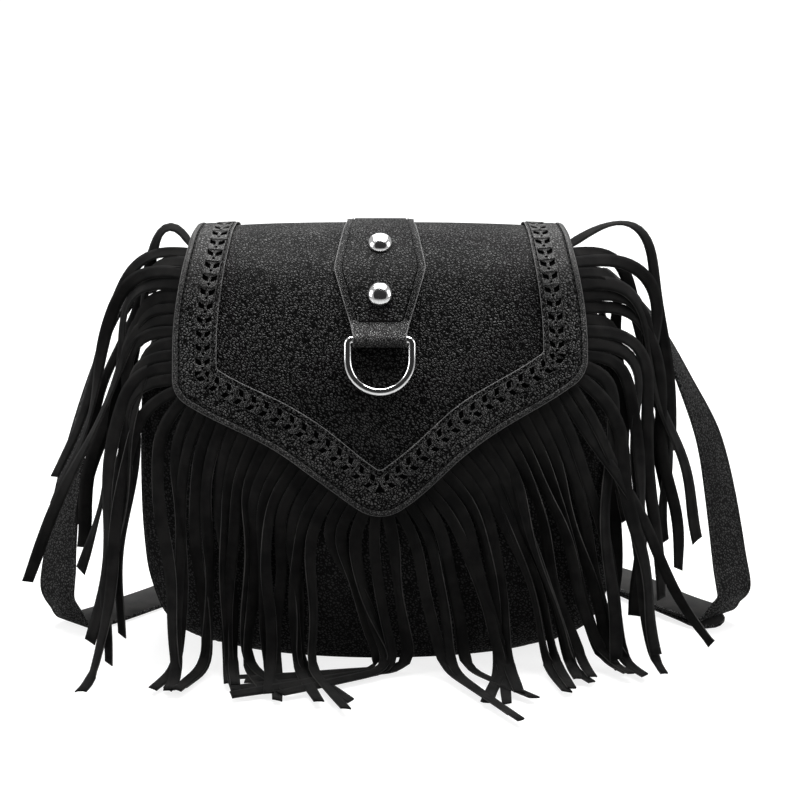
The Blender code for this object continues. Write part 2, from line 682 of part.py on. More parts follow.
def build_tab():
    """The centre tab: from the fold, over the top, round the D-ring's bar and back up under itself."""
    radius = RING_WIRE / 2 + LOOP_CLEARANCE + TAB_THICKNESS / 2
    low = PANEL_TOP + LAYER_GAP + TAB_THICKNESS / 2
    high = low + TAB_THICKNESS + LAYER_GAP
    bar = ring_bar()
    end = RING_BAR_PLACE - LOOP_RETURN
    rows = [v for v in flap_edge(0.0)[:EDGE_COUNTS[0] + 1, 1] if v < end - 2 * LAP_RAMP]
    path = [(v, low) for v in (*rows, end - LAP_RAMP)]
    path += [(end - 0.2 * LAP_RAMP, high), (RING_BAR_PLACE - LOOP_REACH, high)]
    rise = math.atan2(bar - high, LOOP_REACH) + math.asin(radius / math.hypot(bar - high, LOOP_REACH))
    for angle in np.linspace(math.pi / 2 + rise, -math.pi / 2, 9):
        path.append((RING_BAR_PLACE + radius * math.cos(angle), bar + radius * math.sin(angle)))
    path += [(RING_BAR_PLACE - LOOP_REACH / 2, low), (end, low)]
    path = np.array(path)
    shoulder = TAB_TOP_WIDTH + TAB_SHOULDER_SHARE * (TAB_MIDDLE_WIDTH - TAB_TOP_WIDTH)
    widths = ((0, TAB_TOP_WIDTH), (TAB_WIDEN_FROM * TAB_MIDDLE, TAB_TOP_WIDTH),
              (TAB_WIDEN_TO * TAB_MIDDLE, shoulder), (TAB_MIDDLE, TAB_MIDDLE_WIDTH),
              (RING_BAR_PLACE - TAB_END_STRAIGHT, TAB_END_WIDTH),
              (RING_BAR_PLACE + TAB_END_STRAIGHT, TAB_END_WIDTH))
    rows = len(path) - 1

    def place(u, v):
        along, lift = path[round((1 - v) * rows)]
        return flap_point((u - 0.5) * float(smooth_through(widths, along)), along, lift)

    return sheet("centre_tab", 4, rows, place, TAB_THICKNESS, LEATHER, offset=0)


def build_d_ring():
    """The D-ring that hangs in the centre tab."""
    bar = flap_point(0.0, RING_BAR_PLACE, ring_bar())
    half = (RING_WIDTH - RING_WIRE) / 2
    length = RING_LENGTH - RING_WIRE
    rest = flap_point(0.0, RING_BAR_PLACE + length, PANEL_TOP + RING_WIRE / 2 + RING_REST_LIFT)
    down = unit(rest - bar)
    bend = half - RING_CORNER
    flat = [(bend, 0.0)]
    for angle in np.linspace(math.pi / 2, 0, 4)[1:]:
        flat.append((bend + RING_CORNER * math.cos(angle), RING_CORNER - RING_CORNER * math.sin(angle)))
    round_start = length - half
    for angle in np.linspace(0, math.pi, 17):
        flat.append((half * math.cos(angle), round_start + half * math.sin(angle)))
    for angle in np.linspace(math.pi, math.pi / 2, 4):
        flat.append((-bend + RING_CORNER * math.cos(angle), RING_CORNER - RING_CORNER * math.sin(angle)))
    points = [(x, *(q * down[1:])) for x, q in flat]
    ring = wire("d_ring", points, RING_WIRE, STEEL)
    ring.location = bar


def build_rivets(layers):
    """Dome rivets set through the tab, the flap and its lining."""
    seat = PANEL_TOP + LAYER_GAP + TAB_THICKNESS
    for name, along in zip(("rivet_upper", "rivet_lower"), RIVET_PLACES):
        base = flap_point(0.0, along, seat)
        axis = flap_normal(0.0, along)
        profile = []
        for angle in np.linspace(math.pi / 2, 0, 5):
            height = RIVET_SEAT_GAP + RIVET_RIM + RIVET_DOME * math.sin(angle)
            profile.append((RIVET_RADIUS * math.cos(angle), height))
        profile.append((RIVET_RADIUS, RIVET_SEAT_GAP))
        back = -(seat + FLAP_UNDERSIDE) - 2 * RIVET_SEAT_GAP
        profile += [(RIVET_SHANK_RADIUS, RIVET_SEAT_GAP), (RIVET_SHANK_RADIUS, back), (RIVET_BACK_RADIUS, back),
                    (RIVET_BACK_RADIUS, back - RIVET_BACK_THICKNESS), (0.0, back - RIVET_BACK_THICKNESS)]
        profile[0] = (0.0, profile[0][1])
        turned(name, profile, 14, STEEL, base, axis)
        centre = flap_point(0.0, along, (seat - FLAP_UNDERSIDE) / 2)
        cutter = bore_cutter(name + "_bore", centre, axis, RIVET_SHANK_RADIUS + BORE_CLEARANCE, BORE_LENGTH)
        for layer in layers:
            cut(layer, cutter)


def build_snap():
    """The magnetic snap: a socket on the front panel and a stud under the flap."""
    front = np.array([0.0, front_y(0.0, SNAP_HEIGHT), SNAP_HEIGHT])
    slope = front_y(0.0, SNAP_HEIGHT + SNAP_RISE_STEP) - front_y(0.0, SNAP_HEIGHT - SNAP_RISE_STEP)
    axis = unit((0.0, -2 * SNAP_RISE_STEP, slope))
    foot = SNAP_GAP
    top = foot + SNAP_SOCKET_THICKNESS
    turned("snap_socket", [(0, top - SNAP_RECESS_DEPTH), (SNAP_RECESS_RADIUS, top - SNAP_RECESS_DEPTH),
                           (SNAP_RECESS_RADIUS, top), (SNAP_RADIUS - SNAP_CHAMFER, top),
                           (SNAP_RADIUS, top - SNAP_CHAMFER), (SNAP_RADIUS, foot), (0, foot)],
           16, STEEL, front, axis)
    face = top + SNAP_GAP
    turned("snap_stud", [(0, SNAP_STUD_THICKNESS), (SNAP_RADIUS, SNAP_STUD_THICKNESS),
                         (SNAP_RADIUS, SNAP_CHAMFER), (SNAP_RADIUS - SNAP_CHAMFER, 0),
                         (SNAP_NUB_RADIUS + SNAP_NUB_TAPER, 0),
                         (SNAP_NUB_RADIUS, -SNAP_NUB_HEIGHT), (0, -SNAP_NUB_HEIGHT)],
           16, STEEL, front + axis * face, axis)


def wave(k, part):
    """An uneven ripple along the fringe, from -1 to 1, so that neighbouring strips hang in loose bunches."""
    total = sum(math.sin(2 * math.pi * k / period + phase + 1.7 * part) for period, phase in STRIP_WAVES)
    return total / len(STRIP_WAVES)


def strip_frames(rng):
    """Where each strip leaves the flap's edge: its place from -1 to 1, its root and the header's corners."""
    flat, length = edge_line(0.0)
    inner, _ = edge_line(HEADER_DEPTH)
    count = int((length[-1] - 2 * FRINGE_START) / STRIP_PITCH)
    first = (length[-1] - count * STRIP_PITCH) / 2
    half = (STRIP_PITCH - STRIP_SLIT) / 2
    frames = []
    for k in range(count):
        middle = first + (k + 0.5) * STRIP_PITCH
        ends = []
        for at in (middle - half, middle + half):
            root = flap_surface(*(np.interp(at, length, flat[:, c]) for c in (0, 1)))
            back = flap_surface(*(np.interp(at, length, inner[:, c]) for c in (0, 1)))
            ends.append((root, back))
        x, v = (np.interp(middle, length, flat[:, c]) for c in (0, 1))
        along = unit(ends[1][0] - ends[0][0])
        out = unit(np.cross(along, flap_normal(x, v)))
        place = 2 * (k + 0.5) / count - 1
        frames.append({"number": k, "place": place, "ends": ends, "out": out, "along": along,
                       "root": flap_surface(x, v), "cut": rng.uniform(-1, 1)})
    return frames


def hang(frame):
    """The centre line of a strip: it leaves the edge, bends over, hangs and may lie on the floor."""
    place, number = frame["place"], frame["number"]
    bend = float(smooth_through(STRIP_BEND, place))
    lean = float(smooth_through(STRIP_LEAN, place)) + STRIP_SWAY * wave(number, 0)
    lay = math.radians(float(smooth_through(STRIP_LAY, place)) + LAY_SWAY * wave(number, 1))
    length = STRIP_LENGTH * float(smooth_through(STRIP_LONGER, place)) * (1 + STRIP_UNEVEN * frame["cut"])
    standoff = STRIP_CLEARANCE + STRIP_STANDOFF * (1 + wave(number, 2))
    fall = unit((lean, -float(smooth_through(STRIP_FORWARD, place)), -1))
    floor_way = np.array([math.cos(lay), math.sin(lay), 0.0])
    point = frame["root"].copy()
    line = [point.copy()]
    gone = resting = 0.0
    while gone < length:
        turn = float(ease(gone / bend))
        way = unit((1 - turn) * frame["out"] + turn * fall)
        if point[2] < LAY_START:
            resting = min(1.0, resting + STRIP_STEP / LAY_LENGTH)
            way = unit((1 - ease(resting)) * way + ease(resting) * floor_way)
        new = point + way * STRIP_STEP
        if new[2] < BODY_HEIGHT and abs(new[0]) < half_width(max(new[2], 0)):
            away = standoff * float(ease((gone - STANDOFF_START) / STANDOFF_LENGTH))
            new[1] = min(new[1], front_y(new[0], max(new[2], 0)) - STRIP_CLEARANCE - away)
        floor = FLOOR_CLEARANCE + 0.5 * STRIP_PITCH * math.sin(math.radians(LAY_TILT)) * float(ease(resting))
        new[2] = max(new[2], floor)
        gone += float(np.linalg.norm(new - point))
        point = new
        line.append(point.copy())
    return np.array(line)


def strip_widths(frame, line, stations):
    """The middle and the width direction of a strip at each station along it."""
    place = frame["place"]
    lengths = np.concatenate([[0], np.cumsum(np.linalg.norm(np.diff(line, axis=0), axis=1))])
    turn = math.radians(float(smooth_through(STRIP_TURN, place)))
    hanging = np.array([math.cos(turn), math.sin(turn), 0.0])
    found = []
    for share in stations:
        at = share * lengths[-1]
        middle = np.array([np.interp(at, lengths, line[:, c]) for c in range(3)])
        ahead = np.array([np.interp(min(at + 0.004, lengths[-1]), lengths, line[:, c]) for c in range(3)])
        behind = np.array([np.interp(max(at - 0.004, 0), lengths, line[:, c]) for c in range(3)])
        way = unit(ahead - behind)
        turned_over = float(ease(at / HANG_TURN_LENGTH))
        across = (1 - turned_over) * frame["along"] + turned_over * hanging
        flat_share = float(ease((0.020 - middle[2]) / 0.016)) * float(ease((abs(way[2]) < 0.8) * 1.0))
        if flat_share > 0:
            level = unit((-way[1], way[0], 0.0))
            level = level if np.dot(level, hanging) > 0 else -level
            tilt = math.radians(LAY_TILT)
            lying = level * math.cos(tilt) - np.array([0, 0, math.sin(tilt)])
            across = (1 - flat_share) * across + flat_share * lying
        across = across - np.dot(across, way) * way
        found.append((middle, unit(across)))
    return found


def fringe_group(place):
    """Which of the four sewn lengths a strip belongs to."""
    if place < 0:
        return 0 if place < -SIDE_SHARE else 1
    return 2 if place < SIDE_SHARE else 3


def build_fringe():
    """Four lengths of suede, each a header with strips cut below it."""
    frames = strip_frames(random.Random(7))
    for group, name in enumerate(FRINGE_NAMES):
        members = [f for f in frames if fringe_group(f["place"]) == group]
        strips = [strip_widths(f, hang(f), STRIP_STATIONS) for f in members]
        half = (STRIP_PITCH - STRIP_SLIT) / 2
        columns = 2 * len(members) - 1
        rows = len(STRIP_STATIONS) + 1
        work = bmesh.new()
        bmesh.ops.create_grid(work, x_segments=columns, y_segments=rows, size=1)
        slits = []
        for face in work.faces:
            middle = face.calc_center_median()
            column = int((middle.x + 1) / 2 * columns)
            row = int((1 - middle.y) / 2 * rows)
            if column % 2 and row > 0:
                slits.append(face)
        for vertex in work.verts:
            column = round((vertex.co.x + 1) / 2 * columns)
            row = round((1 - vertex.co.y) / 2 * rows)
            frame, strip = members[column // 2], strips[column // 2]
            side = column % 2
            if row < 2:
                vertex.co = frame["ends"][side][1 - row]
            else:
                middle, across = strip[row - 2]
                vertex.co = middle + across * half * (2 * side - 1)
        bmesh.ops.delete(work, geom=slits, context="FACES")
        for face in work.faces:
            face.smooth = True
        mesh = bpy.data.meshes.new(name)
        work.to_mesh(mesh)
        work.free()
        solidify(add_object(name, mesh, SUEDE), STRIP_THICKNESS, 0)


def side_line(z, lift):
    """A point at that height above the gusset's outer face, at its fullest, as (x, z)."""
    def face(height):
        swell = GUSSET_BULGE * float(ease((BODY_HEIGHT - height) / GUSSET_BULGE_HEAD))
        return np.array([half_width(height) + swell, height])

    along = unit(face(z + 0.001) - face(z - 0.001))
    return face(z) + lift * np.array([along[1], -along[0]])


def side_bar():
    """Where the bar of a side ring lies in its tab, as (x, z)."""
    radius = SIDE_RING_WIRE / 2 + LOOP_CLEARANCE + SIDE_TAB_THICKNESS
    return side_line(SIDE_RING_HEIGHT - SIDE_RING_WIRE, FIT_GAP + radius)


def build_side(side, name):
    """The tab on one end of the gusset and its ring. It returns the bar that the strap hangs on."""
    bar = side_bar()
    radius = SIDE_RING_WIRE / 2 + LOOP_CLEARANCE + SIDE_TAB_THICKNESS / 2
    inner = FIT_GAP + SIDE_TAB_THICKNESS / 2
    outer = inner + SIDE_TAB_THICKNESS + LAYER_GAP
    low = SIDE_RING_HEIGHT - SIDE_TAB_LENGTH
    path = [side_line(low + k * SIDE_TAB_LENGTH / 4, inner) for k in range(4)]
    along = unit(side_line(bar[1] + 0.001, 0) - side_line(bar[1] - 0.001, 0))
    away = np.array([along[1], -along[0]])
    for angle in np.linspace(math.pi, 0, 8):
        path.append(bar + radius * (math.sin(angle) * along + math.cos(angle) * away))
    path += [side_line(low + k * SIDE_TAB_LENGTH / 4, outer) for k in (2.4, 1, 0.4)]
    rows = len(path) - 1

    def tab(u, v):
        x, z = path[round(v * rows)]
        return side * x, SIDE_MIDDLE + side * (u - 0.5) * SIDE_TAB_WIDTH, z

    sheet("ring_tab_" + name, 1, rows, tab, SIDE_TAB_THICKNESS, LEATHER, offset=0)
    reach = SIDE_RING_REACH + SIDE_RING_WIRE
    half = (SIDE_RING_INSIDE + SIDE_RING_WIRE) / 2
    out = np.array([math.cos(SIDE_RING_FALL), -math.sin(SIDE_RING_FALL)])
    flat = []
    for across, down in ((1, 0), (1, 1), (-1, 1), (-1, 0)):
        middle = (across * (half - SIDE_RING_CORNER), SIDE_RING_CORNER + down * (reach - 2 * SIDE_RING_CORNER))
        begin = {(1, 0): -90, (1, 1): 0, (-1, 1): 90, (-1, 0): 180}[(across, down)]
        for turn in (0, 30, 60, 90):
            angle = math.radians(begin + turn)
            bent = SIDE_RING_CORNER * np.array([math.cos(angle), math.sin(angle)])
            flat.append(middle + bent)
    points = [(side * (bar[0] + q * out[0]), SIDE_MIDDLE + p, bar[1] + q * out[1]) for p, q in flat]
    wire("strap_ring_" + name, points, SIDE_RING_WIRE, STEEL, resolution=1)
    return bar + reach * out


def smooth_course(knots, spacing=0.004):
    """A smooth course through knots of (place, width's direction), as evenly spaced places and widths."""
    places = np.array([place for place, _ in knots])
    widths = np.array([width for _, width in knots])
    along = np.concatenate([[0], np.cumsum(np.linalg.norm(np.diff(places, axis=0), axis=1))])
    fine = np.arange(0, along[-1] + spacing / 2, spacing)
    course = np.stack([smooth_through(np.column_stack([along, places[:, c]]), fine) for c in range(3)], axis=1)
    wide = np.stack([smooth_through(np.column_stack([along, widths[:, c]]), fine) for c in range(3)], axis=1)
    way = np.gradient(course, axis=0)
    way /= np.linalg.norm(way, axis=1, keepdims=True)
    wide -= np.sum(wide * way, axis=1, keepdims=True) * way
    wide /= np.linalg.norm(wide, axis=1, keepdims=True)
    return course, wide, way


def hang_knots(side, bar, table, radius):
    """The hanging part's knots, from the ring down to just above the floor."""
    knots = [((side * (bar[0] + 0.3 * radius), SIDE_MIDDLE, bar[1] + radius), np.array([0, 1, 0]))]
    for away, back, share, turn in table:
        angle = math.radians(turn)
        place = (side * (bar[0] + radius + away), SIDE_MIDDLE + back, share * bar[1])
        knots.append((place, np.array([side * math.sin(angle), math.cos(angle), 0])))
    return knots


def floor_knots(side, table, level):
    """Knots of a part that lies on the floor at that level."""
    knots = []
    for x, y, turn in table:
        angle = math.radians(turn)
        knots.append(((x, y, level), np.array([side * math.sin(angle), math.cos(angle), 0])))
    return knots


def curl_knots(side, table, level):
    """The curl between the hanging part and the floor."""
    x, y, turn = table[0]
    angle = math.radians(turn)
    width = np.array([side * math.sin(angle), math.cos(angle), 0])
    back = np.array([-side * math.cos(angle), math.sin(angle), 0])
    knots = []
    for bend in (0, 40, 75):
        turned_by = math.radians(bend)
        place = np.array([x, y, level + CURL_RADIUS])
        place = place - back * CURL_RADIUS * CURL_START_SHARE - (0, 0, CURL_RADIUS * math.sin(turned_by))
        knots.append((place + back * CURL_RADIUS * (1 - math.cos(turned_by)), width))
    return knots


def round_bar(course, wide, way, side, centre, radius, thickness, reach):
    """The folded end of a strap: back along itself, round a bar, and on along its course."""
    face = side * np.cross(way, wide)
    step = np.linalg.norm(course[1] - course[0])
    path, widths = [], []
    for back in (reach, 0.7 * reach, 0.42 * reach):
        k = round(back / step)
        path.append(course[k] - face[k] * (thickness + LAYER_GAP))
        widths.append(wide[k])
    ahead, outer = unit(way[0] * (1, 0, 1)), unit(face[0] * (1, 0, 1))
    for angle in np.linspace(-80, -280, 8):
        turned_by = math.radians(angle)
        path.append(centre + radius * (math.cos(turned_by) * ahead + math.sin(turned_by) * outer))
        widths.append(wide[0])
    return path, widths


def strap(name, path, widths, tip=0.0):
    """A strap along a path, with its width's direction at every point and a rounded tip of that length."""
    path, widths = np.array(path), np.array(widths)
    rows = len(path) - 1
    left = np.concatenate([np.cumsum(np.linalg.norm(np.diff(path, axis=0), axis=1)[::-1])[::-1], [0]])

    def place(u, v):
        k = round(v * rows)
        share = 1.0 if not tip else float(np.sqrt(np.clip(1 - (1 - min(left[k] / tip, 1)) ** 2.6, 0.06, 1)))
        return path[k] + (u - 0.5) * STRAP_WIDTH * share * widths[k]

    return sheet(name, 1, rows, place, STRAP_THICKNESS, LEATHER, offset=0)


def thinned(course, wide, step):
    """Every step-th point of a course, with its last one."""
    picks = [*range(0, len(course) - 1, step), len(course) - 1]
    return [course[k] for k in picks], [wide[k] for k in picks]


def build_strap(right_bar, left_bar):
    """The two parts of the strap with the buckle that joins them behind the bag."""
    fold = SIDE_RING_WIRE / 2 + LOOP_CLEARANCE + STRAP_THICKNESS / 2
    below = KEEPER_FLOOR_GAP + KEEPER_THICKNESS + FIT_GAP + STRAP_THICKNESS / 2
    above = below + STRAP_THICKNESS + FIT_GAP
    heel_radius = BUCKLE_WIRE / 2 + LOOP_CLEARANCE + STRAP_THICKNESS / 2
    heel_height = above + heel_radius
    heel = np.array([BUCKLE_X, BUCKLE_Y, heel_height])
    ahead = unit((-1, BUCKLE_SLOPE, 0))
    wide_way = np.array([ahead[1], -ahead[0], 0.0])
    toe_height = FIT_GAP + PRONG_WIRE + FIT_GAP + BUCKLE_WIRE / 2
    toe = heel + ahead * BUCKLE_LENGTH + (0, 0, toe_height - heel_height)

    hang = hang_knots(1, right_bar, HANG_RIGHT, fold)
    ground = floor_knots(1, FLOOR_RIGHT, above)
    end = heel - ahead * BUCKLE_LEAD - (0, 0, heel_radius)
    knots = hang + curl_knots(1, FLOOR_RIGHT, above) + ground + [(end, wide_way)]
    course, wide, way = smooth_course(knots)
    centre = np.array([right_bar[0], SIDE_MIDDLE, right_bar[1]])
    path, widths = round_bar(course, wide, way, 1, centre, fold, STRAP_THICKNESS, STRAP_RETURN)
    main, main_wide = thinned(course[2:], wide[2:], 3)
    path, widths = path + main, widths + main_wide
    for angle in np.linspace(-90, 110, 7):
        turned_by = math.radians(angle)
        path.append(heel + heel_radius * (math.cos(turned_by) * ahead + (0, 0, math.sin(turned_by))))
        widths.append(wide_way)
    for back in (0.010, 0.018, STRAP_RETURN):
        path.append(heel - ahead * back + (0, 0, -heel_radius + STRAP_THICKNESS + FIT_GAP))
        widths.append(wide_way)
    short = strap("strap_short", path, widths)

    under = (0, 0, below - heel_height)
    tail = [(heel - ahead * share * STRAP_TAIL + under, wide_way) for share in TAIL_SHARES]
    shifted = [(x + TAIL_SHIFT[0], y + TAIL_SHIFT[1], turn) for x, y, turn in FLOOR_RIGHT[2:0:-1]]
    follow = floor_knots(1, shifted, below)
    x, y, _ = follow[-1][0]
    follow.append(((x + TAIL_END[0], y + TAIL_END[1], FIT_GAP + STRAP_THICKNESS / 2), follow[-1][1]))
    over = toe + (0, 0, BUCKLE_WIRE / 2 + FIT_GAP + STRAP_THICKNESS / 2)
    on_floor = FIT_GAP + STRAP_THICKNESS / 2
    knots = hang_knots(-1, left_bar, HANG_LEFT, fold) + curl_knots(-1, FLOOR_LEFT, on_floor)
    knots += floor_knots(-1, FLOOR_LEFT, on_floor)
    knots += [(over + ahead * 0.004, wide_way), (over - ahead * BUCKLE_WIRE, wide_way), *tail, *follow]
    course, wide, way = smooth_course(knots)
    centre = np.array([-left_bar[0], SIDE_MIDDLE, left_bar[1]])
    path, widths = round_bar(course, wide, way, -1, centre, fold, STRAP_THICKNESS, STRAP_RETURN)
    main, main_wide = thinned(course[2:], wide[2:], 3)
    long = strap("strap_long", path + main, widths + main_wide, tip=STRAP_TIP_TAPER)

    half = (BUCKLE_INSIDE + BUCKLE_WIRE) / 2
    corner = BUCKLE_WIRE
    points = []
    for across, far in ((1, 0), (1, 1), (-1, 1), (-1, 0)):
        begin = {(1, 0): -90, (1, 1): 0, (-1, 1): 90, (-1, 0): 180}[(across, far)]
        for turn in (0, 45, 90):
            angle = math.radians(begin + turn)
            p = across * (half - corner) + corner * math.cos(angle)
            q = corner + far * (BUCKLE_LENGTH - 2 * corner) + corner * math.sin(angle)
            points.append(heel + (toe - heel) * q / BUCKLE_LENGTH + wide_way * p)
    wire("buckle_frame", points, BUCKLE_WIRE, STEEL, resolution=1)

    eye = (BUCKLE_WIRE + PRONG_WIRE) / 2 + FIT_GAP
    prong = []
    for angle in np.linspace(100, -75, 8):
        turned_by = math.radians(angle)
        prong.append(heel + eye * (-math.cos(turned_by) * ahead + math.sin(turned_by) * np.array([0, 0, 1])))
    low = toe - (0, 0, BUCKLE_WIRE / 2 + FIT_GAP + PRONG_WIRE / 2)
    prong += [low - ahead * PRONG_FLAT, low + ahead * PRONG_OVERHANG]
    wire("buckle_prong", prong, PRONG_WIRE, STEEL, cyclic=False, resolution=1)
    turn = math.atan2(ahead[1], ahead[0])
    slot = box_cutter("prong_slot", heel, (4 * heel_radius, PRONG_SLOT, 4 * heel_radius), (0, 0, turn))
    cut(short, slot)
    hole_middle = (heel + toe) / 2 - ahead * PRONG_HOLE_SHIFT
    hole = box_cutter("prong_hole", hole_middle, (PRONG_HOLE_LENGTH, PRONG_SLOT, 0.03), (0, 0, turn))
    cut(long, hole)

    top = above + STRAP_THICKNESS / 2 + FIT_GAP + KEEPER_THICKNESS / 2
    base = KEEPER_FLOOR_GAP + KEEPER_THICKNESS / 2
    side_way = STRAP_WIDTH / 2 + 2 * FIT_GAP + KEEPER_THICKNESS / 2
    outline = [(-side_way, base), (side_way, base), (side_way, top), (-side_way, top)]
    ring = [outline[k % 4] for k in range(5)]
    middle = heel - ahead * KEEPER_PLACE

    def keeper(u, v):
        p, z = ring[round(v * 4)]
        place = middle + wide_way * p + ahead * (u - 0.5) * KEEPER_WIDTH
        return place[0], place[1], z

    sheet("strap_keeper", 1, 4, keeper, KEEPER_THICKNESS, LEATHER, offset=0, weld=True)


def hang_on_hinge(names):
    """Parents the flap's pieces to an empty on the line that the flap turns about."""
    hinge = bpy.data.objects.new("flap_hinge", None)
    collection("fringed_bag").objects.link(hinge)
    hinge.location = (0, HINGE_Y, HINGE_Z)
    for name in names:
        piece = bpy.data.objects[name]
        piece.parent = hinge
        piece.matrix_parent_inverse = Matrix.Translation((0, -HINGE_Y, -HINGE_Z))


def clear_scene():
    """Starts from an empty scene."""
    for old in list(bpy.data.objects):
        bpy.data.objects.remove(old)


def main():
    """Builds every piece of the bag."""
    clear_scene()
    build_panels()
    build_gusset()
    build_lining()
    panel, lining = build_flap()
    build_lacing()
    tab = build_tab()
    build_d_ring()
    build_rivets((tab, panel, lining))
    build_snap()
    build_fringe()
    right_bar = build_side(1, "right")
    left_bar = build_side(-1, "left")
    build_strap(right_bar, left_bar)
    hang_on_hinge(("flap_panel", "flap_lining", "flap_border", "braided_lacing", "centre_tab", "rivet_upper",
                   "rivet_lower", "snap_stud", "d_ring", *FRINGE_NAMES))


main()
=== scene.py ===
"""The looks of a fringed shoulder bag: pebbled leather, a suede fringe and polished steel fittings.

Metres, +Z up. The bag stands on z = 0 with its front towards -Y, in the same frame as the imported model.
"""

import json
import logging
import math
import random
from collections.abc import Callable, Iterable, Sequence
from dataclasses import dataclass, field
from enum import Enum

import bmesh
import bpy
import numpy as np
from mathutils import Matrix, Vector

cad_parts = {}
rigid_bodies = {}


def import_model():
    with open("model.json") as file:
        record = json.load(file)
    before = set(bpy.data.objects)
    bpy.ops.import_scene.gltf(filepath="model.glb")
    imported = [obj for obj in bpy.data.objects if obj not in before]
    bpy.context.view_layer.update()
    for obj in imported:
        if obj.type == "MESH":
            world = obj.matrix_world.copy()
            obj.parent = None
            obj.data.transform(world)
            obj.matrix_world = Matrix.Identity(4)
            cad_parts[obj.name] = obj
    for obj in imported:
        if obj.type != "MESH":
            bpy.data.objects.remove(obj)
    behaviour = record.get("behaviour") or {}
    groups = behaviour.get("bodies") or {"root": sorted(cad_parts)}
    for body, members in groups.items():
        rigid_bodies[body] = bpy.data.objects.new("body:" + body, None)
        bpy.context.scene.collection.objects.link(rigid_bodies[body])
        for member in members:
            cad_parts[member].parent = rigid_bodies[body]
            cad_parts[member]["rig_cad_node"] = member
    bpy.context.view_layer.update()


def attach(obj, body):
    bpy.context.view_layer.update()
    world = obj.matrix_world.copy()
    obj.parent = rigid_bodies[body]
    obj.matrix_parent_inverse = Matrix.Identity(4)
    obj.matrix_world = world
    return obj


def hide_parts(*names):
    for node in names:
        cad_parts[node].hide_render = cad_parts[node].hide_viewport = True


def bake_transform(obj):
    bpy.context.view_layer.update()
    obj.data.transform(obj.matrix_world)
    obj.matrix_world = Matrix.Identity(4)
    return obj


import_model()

log = logging.getLogger("fringed_bag")

Table = tuple[tuple[float, float], ...]
Profile = Sequence[tuple[float, float]]


# Shared shape helpers


def smooth_through(points: Table, at: np.ndarray | float) -> np.ndarray:
    """Reads a smooth curve that goes through known points without overshoot.

    Args:
        points: The (place, value) pairs that the curve goes through.
        at: The places to read, held inside the first and the last place.

    Returns:
        The values at those places.
    """
    place, value = np.array(points, float).T
    slope = np.diff(value) / np.diff(place)
    product = slope[:-1] * slope[1:]
    inner = np.where(product > 0, 2 * product / np.where(product > 0, slope[:-1] + slope[1:], 1), 0)
    tangent = np.concatenate([slope[:1], inner, slope[-1:]])
    at = np.clip(at, place[0], place[-1])
    k = np.clip(np.searchsorted(place, at, side="right") - 1, 0, len(slope) - 1)
    span = place[k + 1] - place[k]
    t = (at - place[k]) / span
    rise = t * t * (3 - 2 * t)
    ends = (1 - rise) * value[k] + rise * value[k + 1]
    return ends + t * (1 - t) * span * ((1 - t) * tangent[k] - t * tangent[k + 1])


def ease(t: np.ndarray | float) -> np.ndarray:
    """Gives 0 before 0, 1 after 1, and a smooth step between."""
    t = np.clip(t, 0, 1)
    return t * t * (3 - 2 * t)


def unit(vector: np.ndarray) -> np.ndarray:
    """Gives the vectors in the last axis at length 1."""
    vector = np.asarray(vector, float)
    return vector / np.maximum(np.linalg.norm(vector, axis=-1, keepdims=True), 1e-12)


def lengths_along(points: np.ndarray) -> np.ndarray:
    """Gives the length from the first point to each point of a line."""
    return np.concatenate([[0], np.cumsum(np.linalg.norm(np.diff(points, axis=0), axis=1))])


def read_line(points: np.ndarray, at: np.ndarray) -> np.ndarray:
    """Reads points of a line at those lengths along it."""
    along = lengths_along(points)
    return np.stack([np.interp(at, along, points[:, c]) for c in range(points.shape[1])], axis=1)


def softened(points: np.ndarray, times: int) -> np.ndarray:
    """Takes the kinks out of a line, with its ends kept."""
    points = points.copy()
    for _ in range(times):
        points[1:-1] = 0.25 * points[:-2] + 0.5 * points[1:-1] + 0.25 * points[2:]
    return points


def ripple(x: np.ndarray, y: np.ndarray, size: float, seed: int) -> np.ndarray:
    """Gives an uneven swell over a surface, between about -1 and 1.

    Args:
        x: First place on the surface, in metres.
        y: Second place on the surface, in metres.
        size: The usual width of one swell, in metres.
        seed: Chooses the pattern.

    Returns:
        The height at each place.
    """
    rng = random.Random(seed)
    total = np.zeros(np.broadcast(x, y).shape)
    for _ in range(7):
        turn, phase = rng.uniform(0, 2 * math.pi), rng.uniform(0, 2 * math.pi)
        rate = 2 * math.pi / (size * rng.uniform(0.7, 1.9))
        total = total + np.sin(rate * (x * math.cos(turn) + y * math.sin(turn)) + phase)
    return total / 4


# Making meshes


class Body(Enum):
    """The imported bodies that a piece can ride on."""

    BAG = "bag"
    FLAP = "flap"
    RING = "d_ring_body"


class Slot(Enum):
    """The record's material slots."""

    LEATHER = "pebbled_leather"
    EDGE = "edge_leather"
    SUEDE = "suede"
    CLOTH = "lining_cloth"
    STEEL = "polished_steel"


def link(name: str, mesh: bpy.types.Mesh, finishes: Iterable[bpy.types.Material]) -> bpy.types.Object:
    """Puts a mesh into the scene as an object of that name with those finishes."""
    made = bpy.data.objects.new(name, mesh)
    bpy.context.scene.collection.objects.link(made)
    for finish in finishes:
        mesh.materials.append(finish)
    return made


WELD = 1e-7
STITCH_PITCH = 0.0036


def mend_mesh(mesh: bpy.types.Mesh, weld: float = 0.0) -> None:
    """Turns a closed mesh's faces outwards, after joining its double points.

    Args:
        mesh: The mesh, changed in place.
        weld: Points nearer than this are joined. 0 joins none.
    """
    work = bmesh.new()
    work.from_mesh(mesh)
    if weld:
        bmesh.ops.remove_doubles(work, verts=work.verts, dist=weld)
    bmesh.ops.recalc_face_normals(work, faces=work.faces)
    work.to_mesh(mesh)
    work.free()


